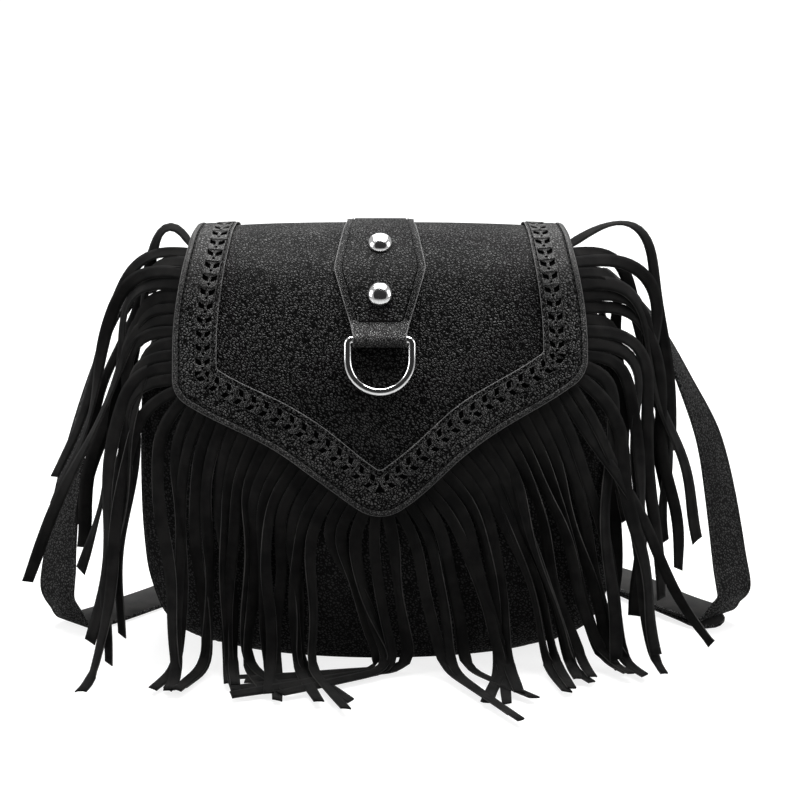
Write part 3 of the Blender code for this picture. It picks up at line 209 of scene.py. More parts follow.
def grid(
    name: str,
    points: np.ndarray,
    finishes: Sequence[bpy.types.Material],
    around: bool = False,
    caps: bool = False,
    column_finish: Sequence[int] | None = None,
    crisp: Sequence[int] = (),
) -> bpy.types.Object:
    """Makes a smooth surface over a grid of points, with a UV map in metres.

    Args:
        name: The piece's name.
        points: Rows x columns x 3. Columns cross rows so that the face looks outwards.
        finishes: The piece's materials.
        around: Joins the last column to the first, as in a tube.
        caps: Closes the first and the last row.
        column_finish: The material of each column of faces, by its number in finishes.
        crisp: The columns of faces that meet the others at a crisp edge.

    Returns:
        The piece's object.
    """
    rows, columns = points.shape[:2]
    index = np.arange(rows * columns).reshape(rows, columns)
    ahead = np.roll(index, -1, axis=1) if around else index[:, 1:]
    here = index if around else index[:, :-1]
    faces = np.stack([here[:-1], ahead[:-1], ahead[1:], here[1:]], axis=-1).reshape(-1, 4).tolist()
    wide = here.shape[1]
    if caps:
        faces += [index[0, ::-1].tolist(), index[-1].tolist()]
    mesh = bpy.data.meshes.new(name)
    mesh.from_pydata(points.reshape(-1, 3).tolist(), [], faces)
    smooth = np.ones(len(faces), bool)
    for column in crisp:
        smooth[column:wide * (rows - 1):wide] = False
    if caps:
        smooth[-2:] = False
    mesh.polygons.foreach_set("use_smooth", smooth)
    if column_finish is not None:
        numbers = np.tile(np.asarray(column_finish, np.int32), rows - 1)
        numbers = np.concatenate([numbers, np.zeros(len(faces) - len(numbers), np.int32)])
        mesh.polygons.foreach_set("material_index", numbers)
    across = np.linalg.norm(np.diff(points, axis=1), axis=2).mean(axis=0)
    across = np.concatenate([[0], np.cumsum(across)])
    along = np.concatenate([[0], np.cumsum(np.linalg.norm(np.diff(points, axis=0), axis=2).mean(axis=1))])
    flat = np.stack([np.tile(across, rows), np.repeat(along, columns)], axis=1)
    layer = mesh.uv_layers.new(name="UVMap")
    corners = np.empty(len(mesh.loops), np.int32)
    mesh.loops.foreach_get("vertex_index", corners)
    layer.data.foreach_set("uv", flat[corners].astype(np.float32).ravel())
    if around and caps:
        mend_mesh(mesh)
    mesh.validate()
    return link(name, mesh, finishes)


def finished_mesh(made: bpy.types.Object) -> bpy.types.Mesh:
    """Gives the mesh of an object with its modifiers worked out."""
    graph = bpy.context.evaluated_depsgraph_get()
    return bpy.data.meshes.new_from_object(made.evaluated_get(graph))


def settle(made: bpy.types.Object) -> bpy.types.Object:
    """Turns an object's modifiers into its mesh."""
    mesh = finished_mesh(made)
    old = made.data
    made.modifiers.clear()
    made.data = mesh
    if old.users == 0:
        bpy.data.meshes.remove(old)
    return made


def thicken(
    made: bpy.types.Object, thickness: float, offset: float = -1.0, edge: float = 0.0003
) -> bpy.types.Object:
    """Gives an open surface its thickness and softly rounded edges.

    Args:
        made: The open surface.
        thickness: In metres.
        offset: -1 grows it inwards, 0 to both sides.
        edge: The radius of its edges.

    Returns:
        The same object, with its final mesh.
    """
    shell = made.modifiers.new("thickness", "SOLIDIFY")
    shell.thickness = thickness
    shell.offset = offset
    shell.use_even_offset = False
    if edge:
        rounded = made.modifiers.new("edge", "BEVEL")
        rounded.width = edge
        rounded.segments = 2
        rounded.limit_method = "ANGLE"
        rounded.angle_limit = math.radians(50)
    return settle(made)


def sweep(
    name: str,
    centres: np.ndarray,
    wides: np.ndarray,
    profile: np.ndarray,
    finishes: Sequence[bpy.types.Material],
    face: float = 1.0,
    closed: bool = False,
    column_finish: Sequence[int] | None = None,
    crisp: Sequence[int] = (),
) -> bpy.types.Object:
    """Sweeps a closed section along a line.

    Args:
        name: The piece's name.
        centres: The points of the line.
        wides: The direction of the section's width at each point.
        profile: The section as (across, up), or one such section for each point.
        finishes: The piece's materials.
        face: 1 where the section's up is along x width, -1 where it is the other way.
        closed: Joins the line's end to its start, as in a ring.
        column_finish: The material of each side of the section.
        crisp: The sides of the section that meet the others at a crisp edge.

    Returns:
        The piece's object.
    """
    if closed:
        way = unit(np.roll(centres, -1, axis=0) - np.roll(centres, 1, axis=0))
    else:
        way = unit(np.gradient(centres, axis=0))
    wides = unit(wides - np.sum(wides * way, axis=1, keepdims=True) * way)
    ups = face * np.cross(way, wides)
    profile = np.asarray(profile, float)
    if profile.ndim == 2:
        profile = np.broadcast_to(profile, (len(centres), *profile.shape))
    points = centres[:, None] + profile[..., :1] * wides[:, None] + profile[..., 1:] * ups[:, None]
    if closed:
        points = np.concatenate([points, points[:1]])
        made = grid(name, points, finishes, around=True, column_finish=column_finish)
        mend_mesh(made.data, WELD)
        return made
    return grid(name, points, finishes, around=True, caps=True, column_finish=column_finish, crisp=crisp)


def round_section(diameter: float, sides: int = 16) -> np.ndarray:
    """Gives a round section of that many sides."""
    angle = np.linspace(0, 2 * math.pi, sides, endpoint=False)
    return np.stack([np.cos(angle), np.sin(angle)], axis=1) * diameter / 2


def strap_section(width: float, thickness: float, groove: float = 0.0, inset: float = 0.003) -> np.ndarray:
    """Gives a flat strap's section: its face, an edge, its back and the other edge.

    Args:
        width: In metres.
        thickness: In metres.
        groove: The depth of the sewn line near each edge of the face.
        inset: How far that line is from the edge.

    Returns:
        Eighteen (across, up) points.
    """
    half, deep, soft = width / 2, thickness / 2, min(0.0009, thickness * 0.4)
    line = half - inset
    face = [(-half + soft, deep), (-line - 0.0008, deep), (-line, deep - groove), (-line + 0.0008, deep), (0, deep),
            (line - 0.0008, deep), (line, deep - groove), (line + 0.0008, deep), (half - soft, deep)]
    back = [(half - 0.3 * soft, 0.5 * deep), (half, 0), (half - 0.3 * soft, -0.5 * deep), (half - soft, -deep),
            (0, -deep), (-half + soft, -deep), (-half + 0.3 * soft, -0.5 * deep), (-half, 0),
            (-half + 0.3 * soft, 0.5 * deep)]
    return np.array(face + back)


STRAP_FACES = (0, 0, 0, 0, 0, 0, 0, 0, 2, 2, 2, 2, 1, 1, 2, 2, 2, 2)


def turned(
    name: str,
    profile: Profile,
    centre: np.ndarray,
    axis: np.ndarray,
    finish: bpy.types.Material,
    sides: int = 48,
) -> bpy.types.Object:
    """Makes a turned piece: a profile of (radius, height) points, spun and set on its axis.

    Args:
        name: The piece's name.
        profile: From the middle of its top to the middle of its foot.
        centre: Where height 0 is.
        axis: The direction of its top.
        finish: Its material.
        sides: Steps of the turn.

    Returns:
        The piece's object.
    """
    axis = unit(axis)
    first = unit(np.cross(axis, (1.0, 0.0, 0.01)))
    second = np.cross(axis, first)
    turn = np.linspace(0, 2 * math.pi, sides, endpoint=False)
    ring = np.cos(turn)[:, None] * first + np.sin(turn)[:, None] * second
    points = np.stack([centre + height * axis + radius * ring for radius, height in profile])
    made = grid(name, points, [finish], around=True)
    mend_mesh(made.data, WELD)
    soft = made.modifiers.new("edge", "BEVEL")
    soft.width = 0.00012
    soft.segments = 2
    soft.limit_method = "ANGLE"
    soft.angle_limit = math.radians(40)
    return settle(made)


def place(made: bpy.types.Object, body: Body, slot: Slot, *nodes: str) -> bpy.types.Object:
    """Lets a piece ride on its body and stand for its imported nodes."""
    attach(made, body.value)
    if nodes:
        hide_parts(*nodes)
    log.info("%s: %d faces", made.name, len(made.data.polygons))
    return made


# Shader groups and finishes


class Graph:
    """A node tree with short ways to add and join nodes."""

    def __init__(self, tree: bpy.types.NodeTree) -> None:
        """Starts from a tree, with its nodes cleared."""
        self.tree = tree
        tree.nodes.clear()

    def add(self, kind: str, settings: dict[str, object] | None = None, **inputs: object) -> bpy.types.Node:
        """Adds a node.

        Args:
            kind: Blender's name of the node type.
            settings: The node's own properties.
            **inputs: Values or sockets for its inputs, by name with spaces as underscores.

        Returns:
            The node.
        """
        node = self.tree.nodes.new(kind)
        for key, value in (settings or {}).items():
            setattr(node, key, value)
        for key, value in inputs.items():
            self.set(node, key.replace("_", " "), value)
        return node

    def set(self, node: bpy.types.Node, key: str | int, value: object) -> None:
        """Sets or joins one input of a node."""
        socket = node.inputs[key]
        if isinstance(value, bpy.types.NodeSocket):
            self.tree.links.new(value, socket)
        else:
            socket.default_value = value

    def math(self, operation: str, first: object, second: object = 0.0, clamp: bool = False) -> bpy.types.NodeSocket:
        """Adds a sum of two numbers or sockets and gives its result."""
        node = self.add("ShaderNodeMath", {"operation": operation, "use_clamp": clamp})
        self.set(node, 0, first)
        self.set(node, 1, second)
        return node.outputs[0]

    def between(self, value: object, low: float, high: float, to_low: float, to_high: float) -> bpy.types.NodeSocket:
        """Maps a value smoothly from one range to another."""
        node = self.add("ShaderNodeMapRange", {"interpolation_type": "SMOOTHSTEP"})
        for key, number in (("Value", value), ("From Min", low), ("From Max", high), ("To Min", to_low),
                            ("To Max", to_high)):
            self.set(node, key, number)
        return node.outputs["Result"]

    def mix(self, share: object, first: object, second: object) -> bpy.types.NodeSocket:
        """Mixes two colours."""
        node = self.add("ShaderNodeMix", {"data_type": "RGBA"})
        self.set(node, 0, share)
        self.set(node, 6, first)
        self.set(node, 7, second)
        return node.outputs[2]


def shader_group(
    name: str, inputs: Sequence[tuple[str, str, float | None]], outputs: Sequence[tuple[str, str]]
) -> tuple[bpy.types.NodeTree, Graph, bpy.types.Node, bpy.types.Node]:
    """Starts a shader group with named sockets.

    Args:
        name: The group's name.
        inputs: Name, socket type and default of each input.
        outputs: Name and socket type of each output.

    Returns:
        The tree, its graph, its input node and its output node.
    """
    tree = bpy.data.node_groups.new(name, "ShaderNodeTree")
    for label, kind, default in inputs:
        socket = tree.interface.new_socket(label, in_out="INPUT", socket_type=kind)
        if default is not None:
            socket.default_value = default
    for label, kind in outputs:
        tree.interface.new_socket(label, in_out="OUTPUT", socket_type=kind)
    graph = Graph(tree)
    return tree, graph, graph.add("NodeGroupInput"), graph.add("NodeGroupOutput")


class Effects:
    """The shader groups that the finishes share, each made once."""

    def __init__(self) -> None:
        """Builds the groups."""
        self.pebbles = self._pebbles()
        self.patches = self._patches()
        self.weave = self._weave()

    @staticmethod
    def _pebbles() -> bpy.types.NodeTree:
        """Builds pebbled grain: grains and creases, with less contrast in a band near the top where the flap bends
        over. Its Crease output also sets the painted crease shade of the finishes.
        """
        value, vector = "NodeSocketFloat", "NodeSocketVector"
        tree, graph, start, end = shader_group(
            "pebbled_grain",
            [("Vector", vector, None), ("Grains", value, 700.0), ("Stretch", value, 1.0)],
            [("Height", value), ("Crease", value)],
        )
        drift = graph.add("ShaderNodeTexNoise", {"noise_dimensions": "3D"}, Vector=start.outputs["Vector"],
                          Scale=260.0, Detail=1.0)
        moved = graph.add("ShaderNodeVectorMath", {"operation": "MULTIPLY_ADD"})
        graph.set(moved, 0, drift.outputs["Color"])
        graph.set(moved, 1, (0.0022, 0.0022, 0.0022))
        graph.set(moved, 2, start.outputs["Vector"])
        turned_round = graph.add("ShaderNodeVectorRotate", {"rotation_type": "Y_AXIS"},
                                 Vector=moved.outputs[0], Angle=math.radians(-40))
        stretched = graph.add("ShaderNodeVectorMath", {"operation": "MULTIPLY"})
        shape = graph.add("ShaderNodeCombineXYZ", None, X=start.outputs["Stretch"], Y=1.0, Z=1.0)
        graph.set(stretched, 0, turned_round.outputs[0])
        graph.set(stretched, 1, shape.outputs[0])
        cells = graph.add("ShaderNodeTexVoronoi", {"feature": "DISTANCE_TO_EDGE"}, Vector=stretched.outputs[0],
                          Scale=start.outputs["Grains"])
        small = graph.add("ShaderNodeTexVoronoi", {"feature": "F1"}, Vector=stretched.outputs[0],
                          Scale=graph.math("MULTIPLY", start.outputs["Grains"], 1.9))
        place_on = graph.add("ShaderNodeSeparateXYZ", None, Vector=start.outputs["Vector"])
        # Lower grain contrast near the top, which also weakens the painted crease shade there.
        top_band = graph.between(place_on.outputs[2], 0.212, 0.248, 0.0, 0.62)
        crease = graph.between(cells.outputs["Distance"], 0.03, 0.34, 0.0, 1.0)
        crease = graph.math("ADD", crease, graph.math("MULTIPLY", top_band, graph.math("SUBTRACT", 0.42, crease)))
        bumps = graph.between(small.outputs["Distance"], 0.0, 0.75, 1.0, 0.0)
        height = graph.math("ADD", graph.math("MULTIPLY", crease, 0.8), graph.math("MULTIPLY", bumps, 0.2))
        graph.set(end, "Height", height)
        graph.set(end, "Crease", crease)
        return tree

    @staticmethod
    def _patches() -> bpy.types.NodeTree:
        """Builds soft uneven patches, as of handling and dust."""
        value, vector = "NodeSocketFloat", "NodeSocketVector"
        tree, graph, start, end = shader_group(
            "soft_patches", [("Vector", vector, None), ("Scale", value, 20.0)], [("Mask", value)]
        )
        noise = graph.add("ShaderNodeTexNoise", {"noise_dimensions": "3D"}, Vector=start.outputs["Vector"],
                          Scale=start.outputs["Scale"], Detail=4.0, Roughness=0.55)
        graph.set(end, "Mask", graph.between(noise.outputs["Fac"], 0.34, 0.66, 0.0, 1.0))
        return tree

    @staticmethod
    def _weave() -> bpy.types.NodeTree:
        """Builds a plain weave of two crossed threads."""
        value, vector = "NodeSocketFloat", "NodeSocketVector"
        tree, graph, start, end = shader_group(
            "plain_weave", [("Vector", vector, None), ("Threads", value, 1600.0)], [("Height", value)]
        )
        parts = graph.add("ShaderNodeSeparateXYZ", None, Vector=start.outputs["Vector"])
        rate = graph.math("MULTIPLY", start.outputs["Threads"], math.pi)
        first = graph.math("SINE", graph.math("MULTIPLY", graph.math("ADD", parts.outputs[0], parts.outputs[1]), rate))
        second = graph.math("SINE", graph.math("MULTIPLY", parts.outputs[2], rate))
        over = graph.math("MULTIPLY", first, second)
        graph.set(end, "Height", graph.between(over, -1.0, 1.0, 0.0, 1.0))
        return tree


EFFECTS = Effects()


def new_material(name: str) -> tuple[bpy.types.Material, Graph, bpy.types.Node, bpy.types.NodeSocket]:
    """Starts a material.

    Args:
        name: The material's name.

    Returns:
        The material, its graph, its Principled shader and the object coordinates.
    """
    made = bpy.data.materials.new(name)
    made.use_nodes = True
    graph = Graph(made.node_tree)
    shader = graph.add("ShaderNodeBsdfPrincipled")
    out = graph.add("ShaderNodeOutputMaterial")
    made.node_tree.links.new(shader.outputs[0], out.inputs["Surface"])
    place_on = graph.add("ShaderNodeTexCoord").outputs["Object"]
    return made, graph, shader, place_on


def grey(level: float, warmth: float = 0.0) -> tuple[float, float, float, float]:
    """Gives a grey of that level, a little warm or cool."""
    return (level * (1 + warmth), level, level * (1 - warmth), 1.0)


@dataclass(frozen=True)
class Leather:
    """Grained leather: its colours, its sheen and how coarse and deep its grain is. Its creases are painted darker
    than its tops, as painted shade.
    """

    name: str
    level: float = 0.0165
    # painted shade: the colour in the grain's creases, darker than the tops
    painted_crease_shade: float = 0.0007
    grains: float = 760.0
    stretch: float = 0.55
    depth: float = 0.00045
    roughness: tuple[float, float] = (0.38, 0.75)
    specular: float = 0.28

    def material(self) -> bpy.types.Material:
        """Builds the material."""
        made, graph, shader, place_on = new_material(self.name)
        grain = graph.add("ShaderNodeGroup", {"node_tree": EFFECTS.pebbles}, Vector=place_on)
        graph.set(grain, "Grains", self.grains)
        graph.set(grain, "Stretch", self.stretch)
        patches = graph.add("ShaderNodeGroup", {"node_tree": EFFECTS.patches}, Vector=place_on, Scale=28.0)
        tops = graph.mix(patches.outputs["Mask"], grey(self.level * 0.75), grey(self.level * 1.25, 0.02))
        # The creases take the darker colour: painted shade in the grain.
        graph.set(shader, "Base Color", graph.mix(grain.outputs["Crease"], grey(self.painted_crease_shade), tops))
        rough = graph.between(grain.outputs["Crease"], 0.0, 1.0, self.roughness[1], self.roughness[0])
        worn = graph.between(patches.outputs["Mask"], 0.0, 1.0, 0.04, -0.03)
        graph.set(shader, "Roughness", graph.math("ADD", rough, worn, clamp=True))
        bump = graph.add("ShaderNodeBump", None, Height=grain.outputs["Height"], Distance=self.depth, Strength=1.0)
        graph.set(shader, "Normal", bump.outputs[0])
        shine = graph.between(grain.outputs["Crease"], 0.1, 0.9, 0.03, self.specular)
        graph.set(shader, "Specular IOR Level", shine)
        return made


@dataclass(frozen=True)
class Suede:
    """Napped leather: matt, with a fine uneven nap and soft streaks."""

    name: str
    level: float = 0.0042
    light_level: float = 0.0125
    nap: float = 2600.0
    depth: float = 0.00010
    sheen: float = 0.02

    def material(self) -> bpy.types.Material:
        """Builds the material."""
        made, graph, shader, place_on = new_material(self.name)
        patches = graph.add("ShaderNodeGroup", {"node_tree": EFFECTS.patches}, Vector=place_on, Scale=90.0)
        nap = graph.add("ShaderNodeTexNoise", {"noise_dimensions": "3D"}, Vector=place_on, Scale=self.nap, Detail=3.0)
        tone = graph.math("MULTIPLY", patches.outputs["Mask"], nap.outputs["Fac"])
        graph.set(shader, "Base Color", graph.mix(tone, grey(self.level), grey(self.light_level, 0.04)))
        graph.set(shader, "Roughness", graph.between(nap.outputs["Fac"], 0.2, 0.8, 0.86, 0.98))
        bump = graph.add("ShaderNodeBump", None, Height=nap.outputs["Fac"], Distance=self.depth, Strength=0.8)
        graph.set(shader, "Normal", bump.outputs[0])
        graph.set(shader, "Specular IOR Level", 0.06)
        graph.set(shader, "Sheen Weight", self.sheen)
        graph.set(shader, "Sheen Roughness", 0.55)
        return made


@dataclass(frozen=True)
class Cloth:
    """Plain woven lining cloth."""

    name: str
    level: float = 0.020
    threads: float = 1500.0

    def material(self) -> bpy.types.Material:
        """Builds the material."""
        made, graph, shader, place_on = new_material(self.name)
        weave = graph.add("ShaderNodeGroup", {"node_tree": EFFECTS.weave}, Vector=place_on, Threads=self.threads)
        patches = graph.add("ShaderNodeGroup", {"node_tree": EFFECTS.patches}, Vector=place_on, Scale=18.0)
        threads = graph.mix(weave.outputs["Height"], grey(self.level * 0.5), grey(self.level * 1.3))
        graph.set(shader, "Base Color", graph.mix(graph.math("MULTIPLY", patches.outputs["Mask"], 0.4), threads,
                                                  grey(self.level * 0.7)))
        graph.set(shader, "Roughness", graph.between(weave.outputs["Height"], 0.0, 1.0, 0.9, 0.74))
        bump = graph.add("ShaderNodeBump", None, Height=weave.outputs["Height"], Distance=0.00015, Strength=0.7)
        graph.set(shader, "Normal", bump.outputs[0])
        graph.set(shader, "Specular IOR Level", 0.2)
        return made


@dataclass(frozen=True)
class Steel:
    """Polished steel with faint wiping marks."""

    name: str
    level: float = 0.80
    roughness: float = 0.10

    def material(self) -> bpy.types.Material:
        """Builds the material."""
        made, graph, shader, place_on = new_material(self.name)
        patches = graph.add("ShaderNodeGroup", {"node_tree": EFFECTS.patches}, Vector=place_on, Scale=210.0)
        graph.set(shader, "Base Color", graph.mix(patches.outputs["Mask"], grey(self.level), grey(self.level * 0.92)))
        graph.set(shader, "Metallic", 1.0)
        graph.set(shader, "Roughness", graph.between(patches.outputs["Mask"], 0.0, 1.0, self.roughness,
                                                     self.roughness + 0.05))
        marks = graph.add("ShaderNodeTexNoise", {"noise_dimensions": "3D"}, Vector=place_on, Scale=900.0, Detail=2.0)
        bump = graph.add("ShaderNodeBump", None, Height=marks.outputs["Fac"], Distance=0.00001, Strength=0.3)
        graph.set(shader, "Normal", bump.outputs[0])
        return made


class Finishes:
    """Every material of the bag, made once."""

    def __init__(self) -> None:
        """Builds the materials."""
        self.leather = Leather("pebbled_leather_black").material()
        self.body = Leather("body_leather_black", level=0.0120, painted_crease_shade=0.0058, grains=640.0, stretch=0.7,
                            depth=0.00020, roughness=(0.44, 0.62), specular=0.22).material()
        self.border = Leather("border_leather_black", level=0.044, grains=700.0, stretch=0.8, depth=0.00050,
                              roughness=(0.36, 0.70), specular=0.42).material()
        self.lace = Leather("lacing_leather", level=0.070, painted_crease_shade=0.004, grains=1100.0, stretch=0.9,
                            depth=0.00035, roughness=(0.34, 0.6), specular=0.5).material()
        self.margin = Leather("tab_margin_leather", level=0.028, grains=900.0, stretch=0.9, depth=0.00040,
                              roughness=(0.36, 0.65), specular=0.32).material()
        # Partly painted highlight: the smoother turned-edge leather, made lighter than the black grain to stand in for
        # light catching the rolled edges and the fold at the D-ring
        self.smooth = Leather("turned_edge_leather_painted_highlight", level=0.066, painted_crease_shade=0.010,
                              grains=900.0, stretch=0.9, depth=0.00030, roughness=(0.36, 0.55), specular=0.32).material()
        # painted shade: near-black matt leather laid in the grooves, the lacing's channel and across the tab, where
        # shade falls
        self.painted_shade = Leather("leather_in_shadow", level=0.003, painted_crease_shade=0.002, depth=0.0001,
                              roughness=(0.8, 0.9), specular=0.05).material()
        self.cut_edge = Leather("cut_edge_leather", level=0.130, painted_crease_shade=0.070, grains=1500.0, stretch=1.0,
                                depth=0.00012, roughness=(0.5, 0.7)).material()
        self.strap_back = Suede("strap_back_leather", level=0.014, light_level=0.030, sheen=0.05).material()
        self.suede = Suede("suede_black").material()
        self.suede_edge = Suede("suede_cut_edge", level=0.016, light_level=0.050, sheen=0.05).material()
        self.cloth = Cloth("lining_cloth_black").material()
        self.thread = Cloth("thread_black", level=0.024, threads=5000.0).material()
        self.steel = Steel("polished_steel_plate").material()


# Geometry Nodes that repeat a small piece along a path


@dataclass
class PathPoints:
    """Points along a path, each with the direction ahead and the direction up."""

    places: np.ndarray
    ahead: np.ndarray
    up: np.ndarray

    @staticmethod
    def joined(parts: Sequence["PathPoints"]) -> "PathPoints":
        """Joins several paths into one list of points."""
        return PathPoints(*(np.concatenate([getattr(p, key) for p in parts]) for key in ("places", "ahead", "up")))

    @staticmethod
    def along(line: np.ndarray, up: np.ndarray, pitch: float, margin: float = 0.0) -> "PathPoints":
        """Spaces points evenly along a line.

        Args:
            line: The line's points.
            up: The direction up at each of them.
            pitch: From one point to the next, about.
            margin: Left free at both ends.

        Returns:
            The spaced points.
        """
        length = lengths_along(line)
        free = length[-1] - 2 * margin
        count = max(1, round(free / pitch))
        at = margin + (np.arange(count) + 0.5) * free / count
        places = read_line(line, at)
        ahead = unit(read_line(line, np.minimum(at + 5e-4, length[-1])) - read_line(line, np.maximum(at - 5e-4, 0)))
        raised = np.stack([np.interp(at, length, up[:, c]) for c in range(3)], axis=1)
        return PathPoints(places, ahead, unit(raised))


class Repeater:
    """Sets one small piece at every point of a path with a Geometry Nodes tree."""

    def __init__(self) -> None:
        """Builds the tree."""
        tree = bpy.data.node_groups.new("set_along_path", "GeometryNodeTree")
        face = tree.interface
        face.new_socket("Geometry", in_out="INPUT", socket_type="NodeSocketGeometry")
        self.sockets = {
            "Piece": face.new_socket("Piece", in_out="INPUT", socket_type="NodeSocketObject"),
            "Finish": face.new_socket("Finish", in_out="INPUT", socket_type="NodeSocketMaterial"),
            "Unevenness": face.new_socket("Unevenness", in_out="INPUT", socket_type="NodeSocketFloat"),
            "Seed": face.new_socket("Seed", in_out="INPUT", socket_type="NodeSocketInt"),
        }
        face.new_socket("Geometry", in_out="OUTPUT", socket_type="NodeSocketGeometry")
        graph = Graph(tree)
        start, end = graph.add("NodeGroupInput"), graph.add("NodeGroupOutput")
        ahead = graph.add("GeometryNodeInputNamedAttribute", {"data_type": "FLOAT_VECTOR"}, Name="ahead")
        up = graph.add("GeometryNodeInputNamedAttribute", {"data_type": "FLOAT_VECTOR"}, Name="up")
        turn = graph.add("FunctionNodeAxesToRotation", {"primary_axis": "Z", "secondary_axis": "Y"})
        graph.set(turn, 0, up.outputs["Attribute"])
        graph.set(turn, 1, ahead.outputs["Attribute"])
        low = graph.add("ShaderNodeMath", {"operation": "SUBTRACT"})
        high = graph.add("ShaderNodeMath", {"operation": "ADD"})
        for node in (low, high):
            graph.set(node, 0, 1.0)
            graph.set(node, 1, start.outputs["Unevenness"])
        size = graph.add("FunctionNodeRandomValue", {"data_type": "FLOAT"})
        graph.set(size, 2, low.outputs[0])
        graph.set(size, 3, high.outputs[0])
        graph.set(size, "Seed", start.outputs["Seed"])
        piece = graph.add("GeometryNodeObjectInfo", None, Object=start.outputs["Piece"])
        copies = graph.add("GeometryNodeInstanceOnPoints")
        graph.set(copies, "Points", start.outputs["Geometry"])
        graph.set(copies, "Instance", piece.outputs["Geometry"])
        graph.set(copies, "Rotation", turn.outputs[0])
        graph.set(copies, "Scale", size.outputs[1])
        real = graph.add("GeometryNodeRealizeInstances", None, Geometry=copies.outputs[0])
        dressed = graph.add("GeometryNodeSetMaterial", None, Geometry=real.outputs[0],
                            Material=start.outputs["Finish"])
        graph.set(end, "Geometry", dressed.outputs[0])
        self.tree = tree

    def repeat(
        self,
        name: str,
        piece: bpy.types.Object,
        path: PathPoints,
        finish: bpy.types.Material,
        unevenness: float = 0.0,
        seed: int = 1,
    ) -> bpy.types.Object:
        """Makes one mesh of the piece set at every point.

        Args:
            name: The new piece's name.
            piece: What is repeated: along +Y, up +Z.
            path: Where each copy goes.
            finish: The new piece's material.
            unevenness: How much the copies differ in size.
            seed: Chooses those differences.

        Returns:
            The new piece.
        """
        mesh = bpy.data.meshes.new(name)
        mesh.from_pydata(path.places.tolist(), [], [])
        for key in ("ahead", "up"):
            attribute = mesh.attributes.new(key, "FLOAT_VECTOR", "POINT")
            attribute.data.foreach_set("vector", getattr(path, key).astype(np.float32).ravel())
        made = link(name, mesh, [])
        nodes = made.modifiers.new("set along", "NODES")
        nodes.node_group = self.tree
        values = {"Piece": piece, "Finish": finish, "Unevenness": unevenness, "Seed": seed}
        for key, value in values.items():
            nodes[self.sockets[key].identifier] = value
        settle(made)
        for key in ("ahead", "up"):
            old = made.data.attributes.get(key)
            if old:
                made.data.attributes.remove(old)
        bpy.data.objects.remove(piece)
        return made


def stitch_piece(length: float = 0.0028, width: float = 0.00055, height: float = 0.00045) -> bpy.types.Object:
    """Makes one stitch: a short sunken thread, along +Y."""
    rows = np.linspace(-1, 1, 7)
    turn = np.linspace(0, 2 * math.pi, 6, endpoint=False)
    points = np.zeros((len(rows), len(turn), 3))
    for k, share in enumerate(rows):
        full = math.sqrt(max(0.0, 1 - share**2)) * 0.9 + 0.1
        points[k, :, 0] = np.cos(turn) * width / 2 * full
        points[k, :, 1] = share * length / 2
        points[k, :, 2] = np.sin(turn) * height / 2 * full - 0.25 * height * share**2
    return grid("one_stitch", points, [], around=True, caps=True)


# The body of the bag


@dataclass
class BodyForm:
    """The shape of the body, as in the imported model."""

    width: float = 0.286
    height: float = 0.243
    front_top: float = 0.224
    front_seam: float = 0.037
    front_bulge: float = 0.028
    back_seam: float = 0.034
    back_bulge: float = 0.018
    gusset_bulge: float = 0.004
    thickness: float = 0.0018
    seam_gap: float = 0.0004
    power: float = 0.75
    width_shape: Table = ((0, 0.65), (0.02, 0.77), (0.06, 0.875), (0.12, 0.94), (0.25, 0.99), (0.40, 1),
                          (0.66, 0.985), (0.76, 0.95), (0.86, 0.875), (0.93, 0.81), (1, 0.775))
    front_seam_shape: Table = ((0, 0.73), (0.1, 0.89), (0.4, 1), (0.7, 0.92), (0.93, 0.70), (1, 0.65))
    front_bulge_shape: Table = ((0, 0.80), (0.08, 0.88), (0.25, 1), (0.45, 1), (0.62, 0.88), (0.78, 0.64),
                                (0.88, 0.42), (1, 0.1))
    back_seam_shape: Table = ((0, 0.76), (0.1, 0.91), (0.4, 1), (0.7, 0.97), (1, 0.9))
    back_bulge_shape: Table = ((0, 1), (0.1, 0.89), (0.4, 0.83), (0.7, 0.62), (1, 0.1))

    def half_width(self, z: np.ndarray | float) -> np.ndarray:
        """Gives half the panels' width at that height."""
        return self.width / 2 * smooth_through(self.width_shape, np.asarray(z) / self.height)

    def _depth(self, x: np.ndarray, z: np.ndarray, seam: float, seam_shape: Table, bulge: float,
               bulge_shape: Table) -> np.ndarray:
        """Gives how far a panel's outer face stands from the middle plane."""
        share = np.asarray(z) / self.height
        across = np.clip(1 - (x / self.half_width(z)) ** 2, 0, 1)
        return seam * smooth_through(seam_shape, share) + bulge * smooth_through(bulge_shape, share) * across**self.power

    def front_y(self, x: np.ndarray | float, z: np.ndarray | float) -> np.ndarray:
        """Gives the outer face of the front panel."""
        return -self._depth(x, z, self.front_seam, self.front_seam_shape, self.front_bulge, self.front_bulge_shape)

    def back_y(self, x: np.ndarray | float, z: np.ndarray | float) -> np.ndarray:
        """Gives the outer face of the back panel."""
        return self._depth(x, z, self.back_seam, self.back_seam_shape, self.back_bulge, self.back_bulge_shape)


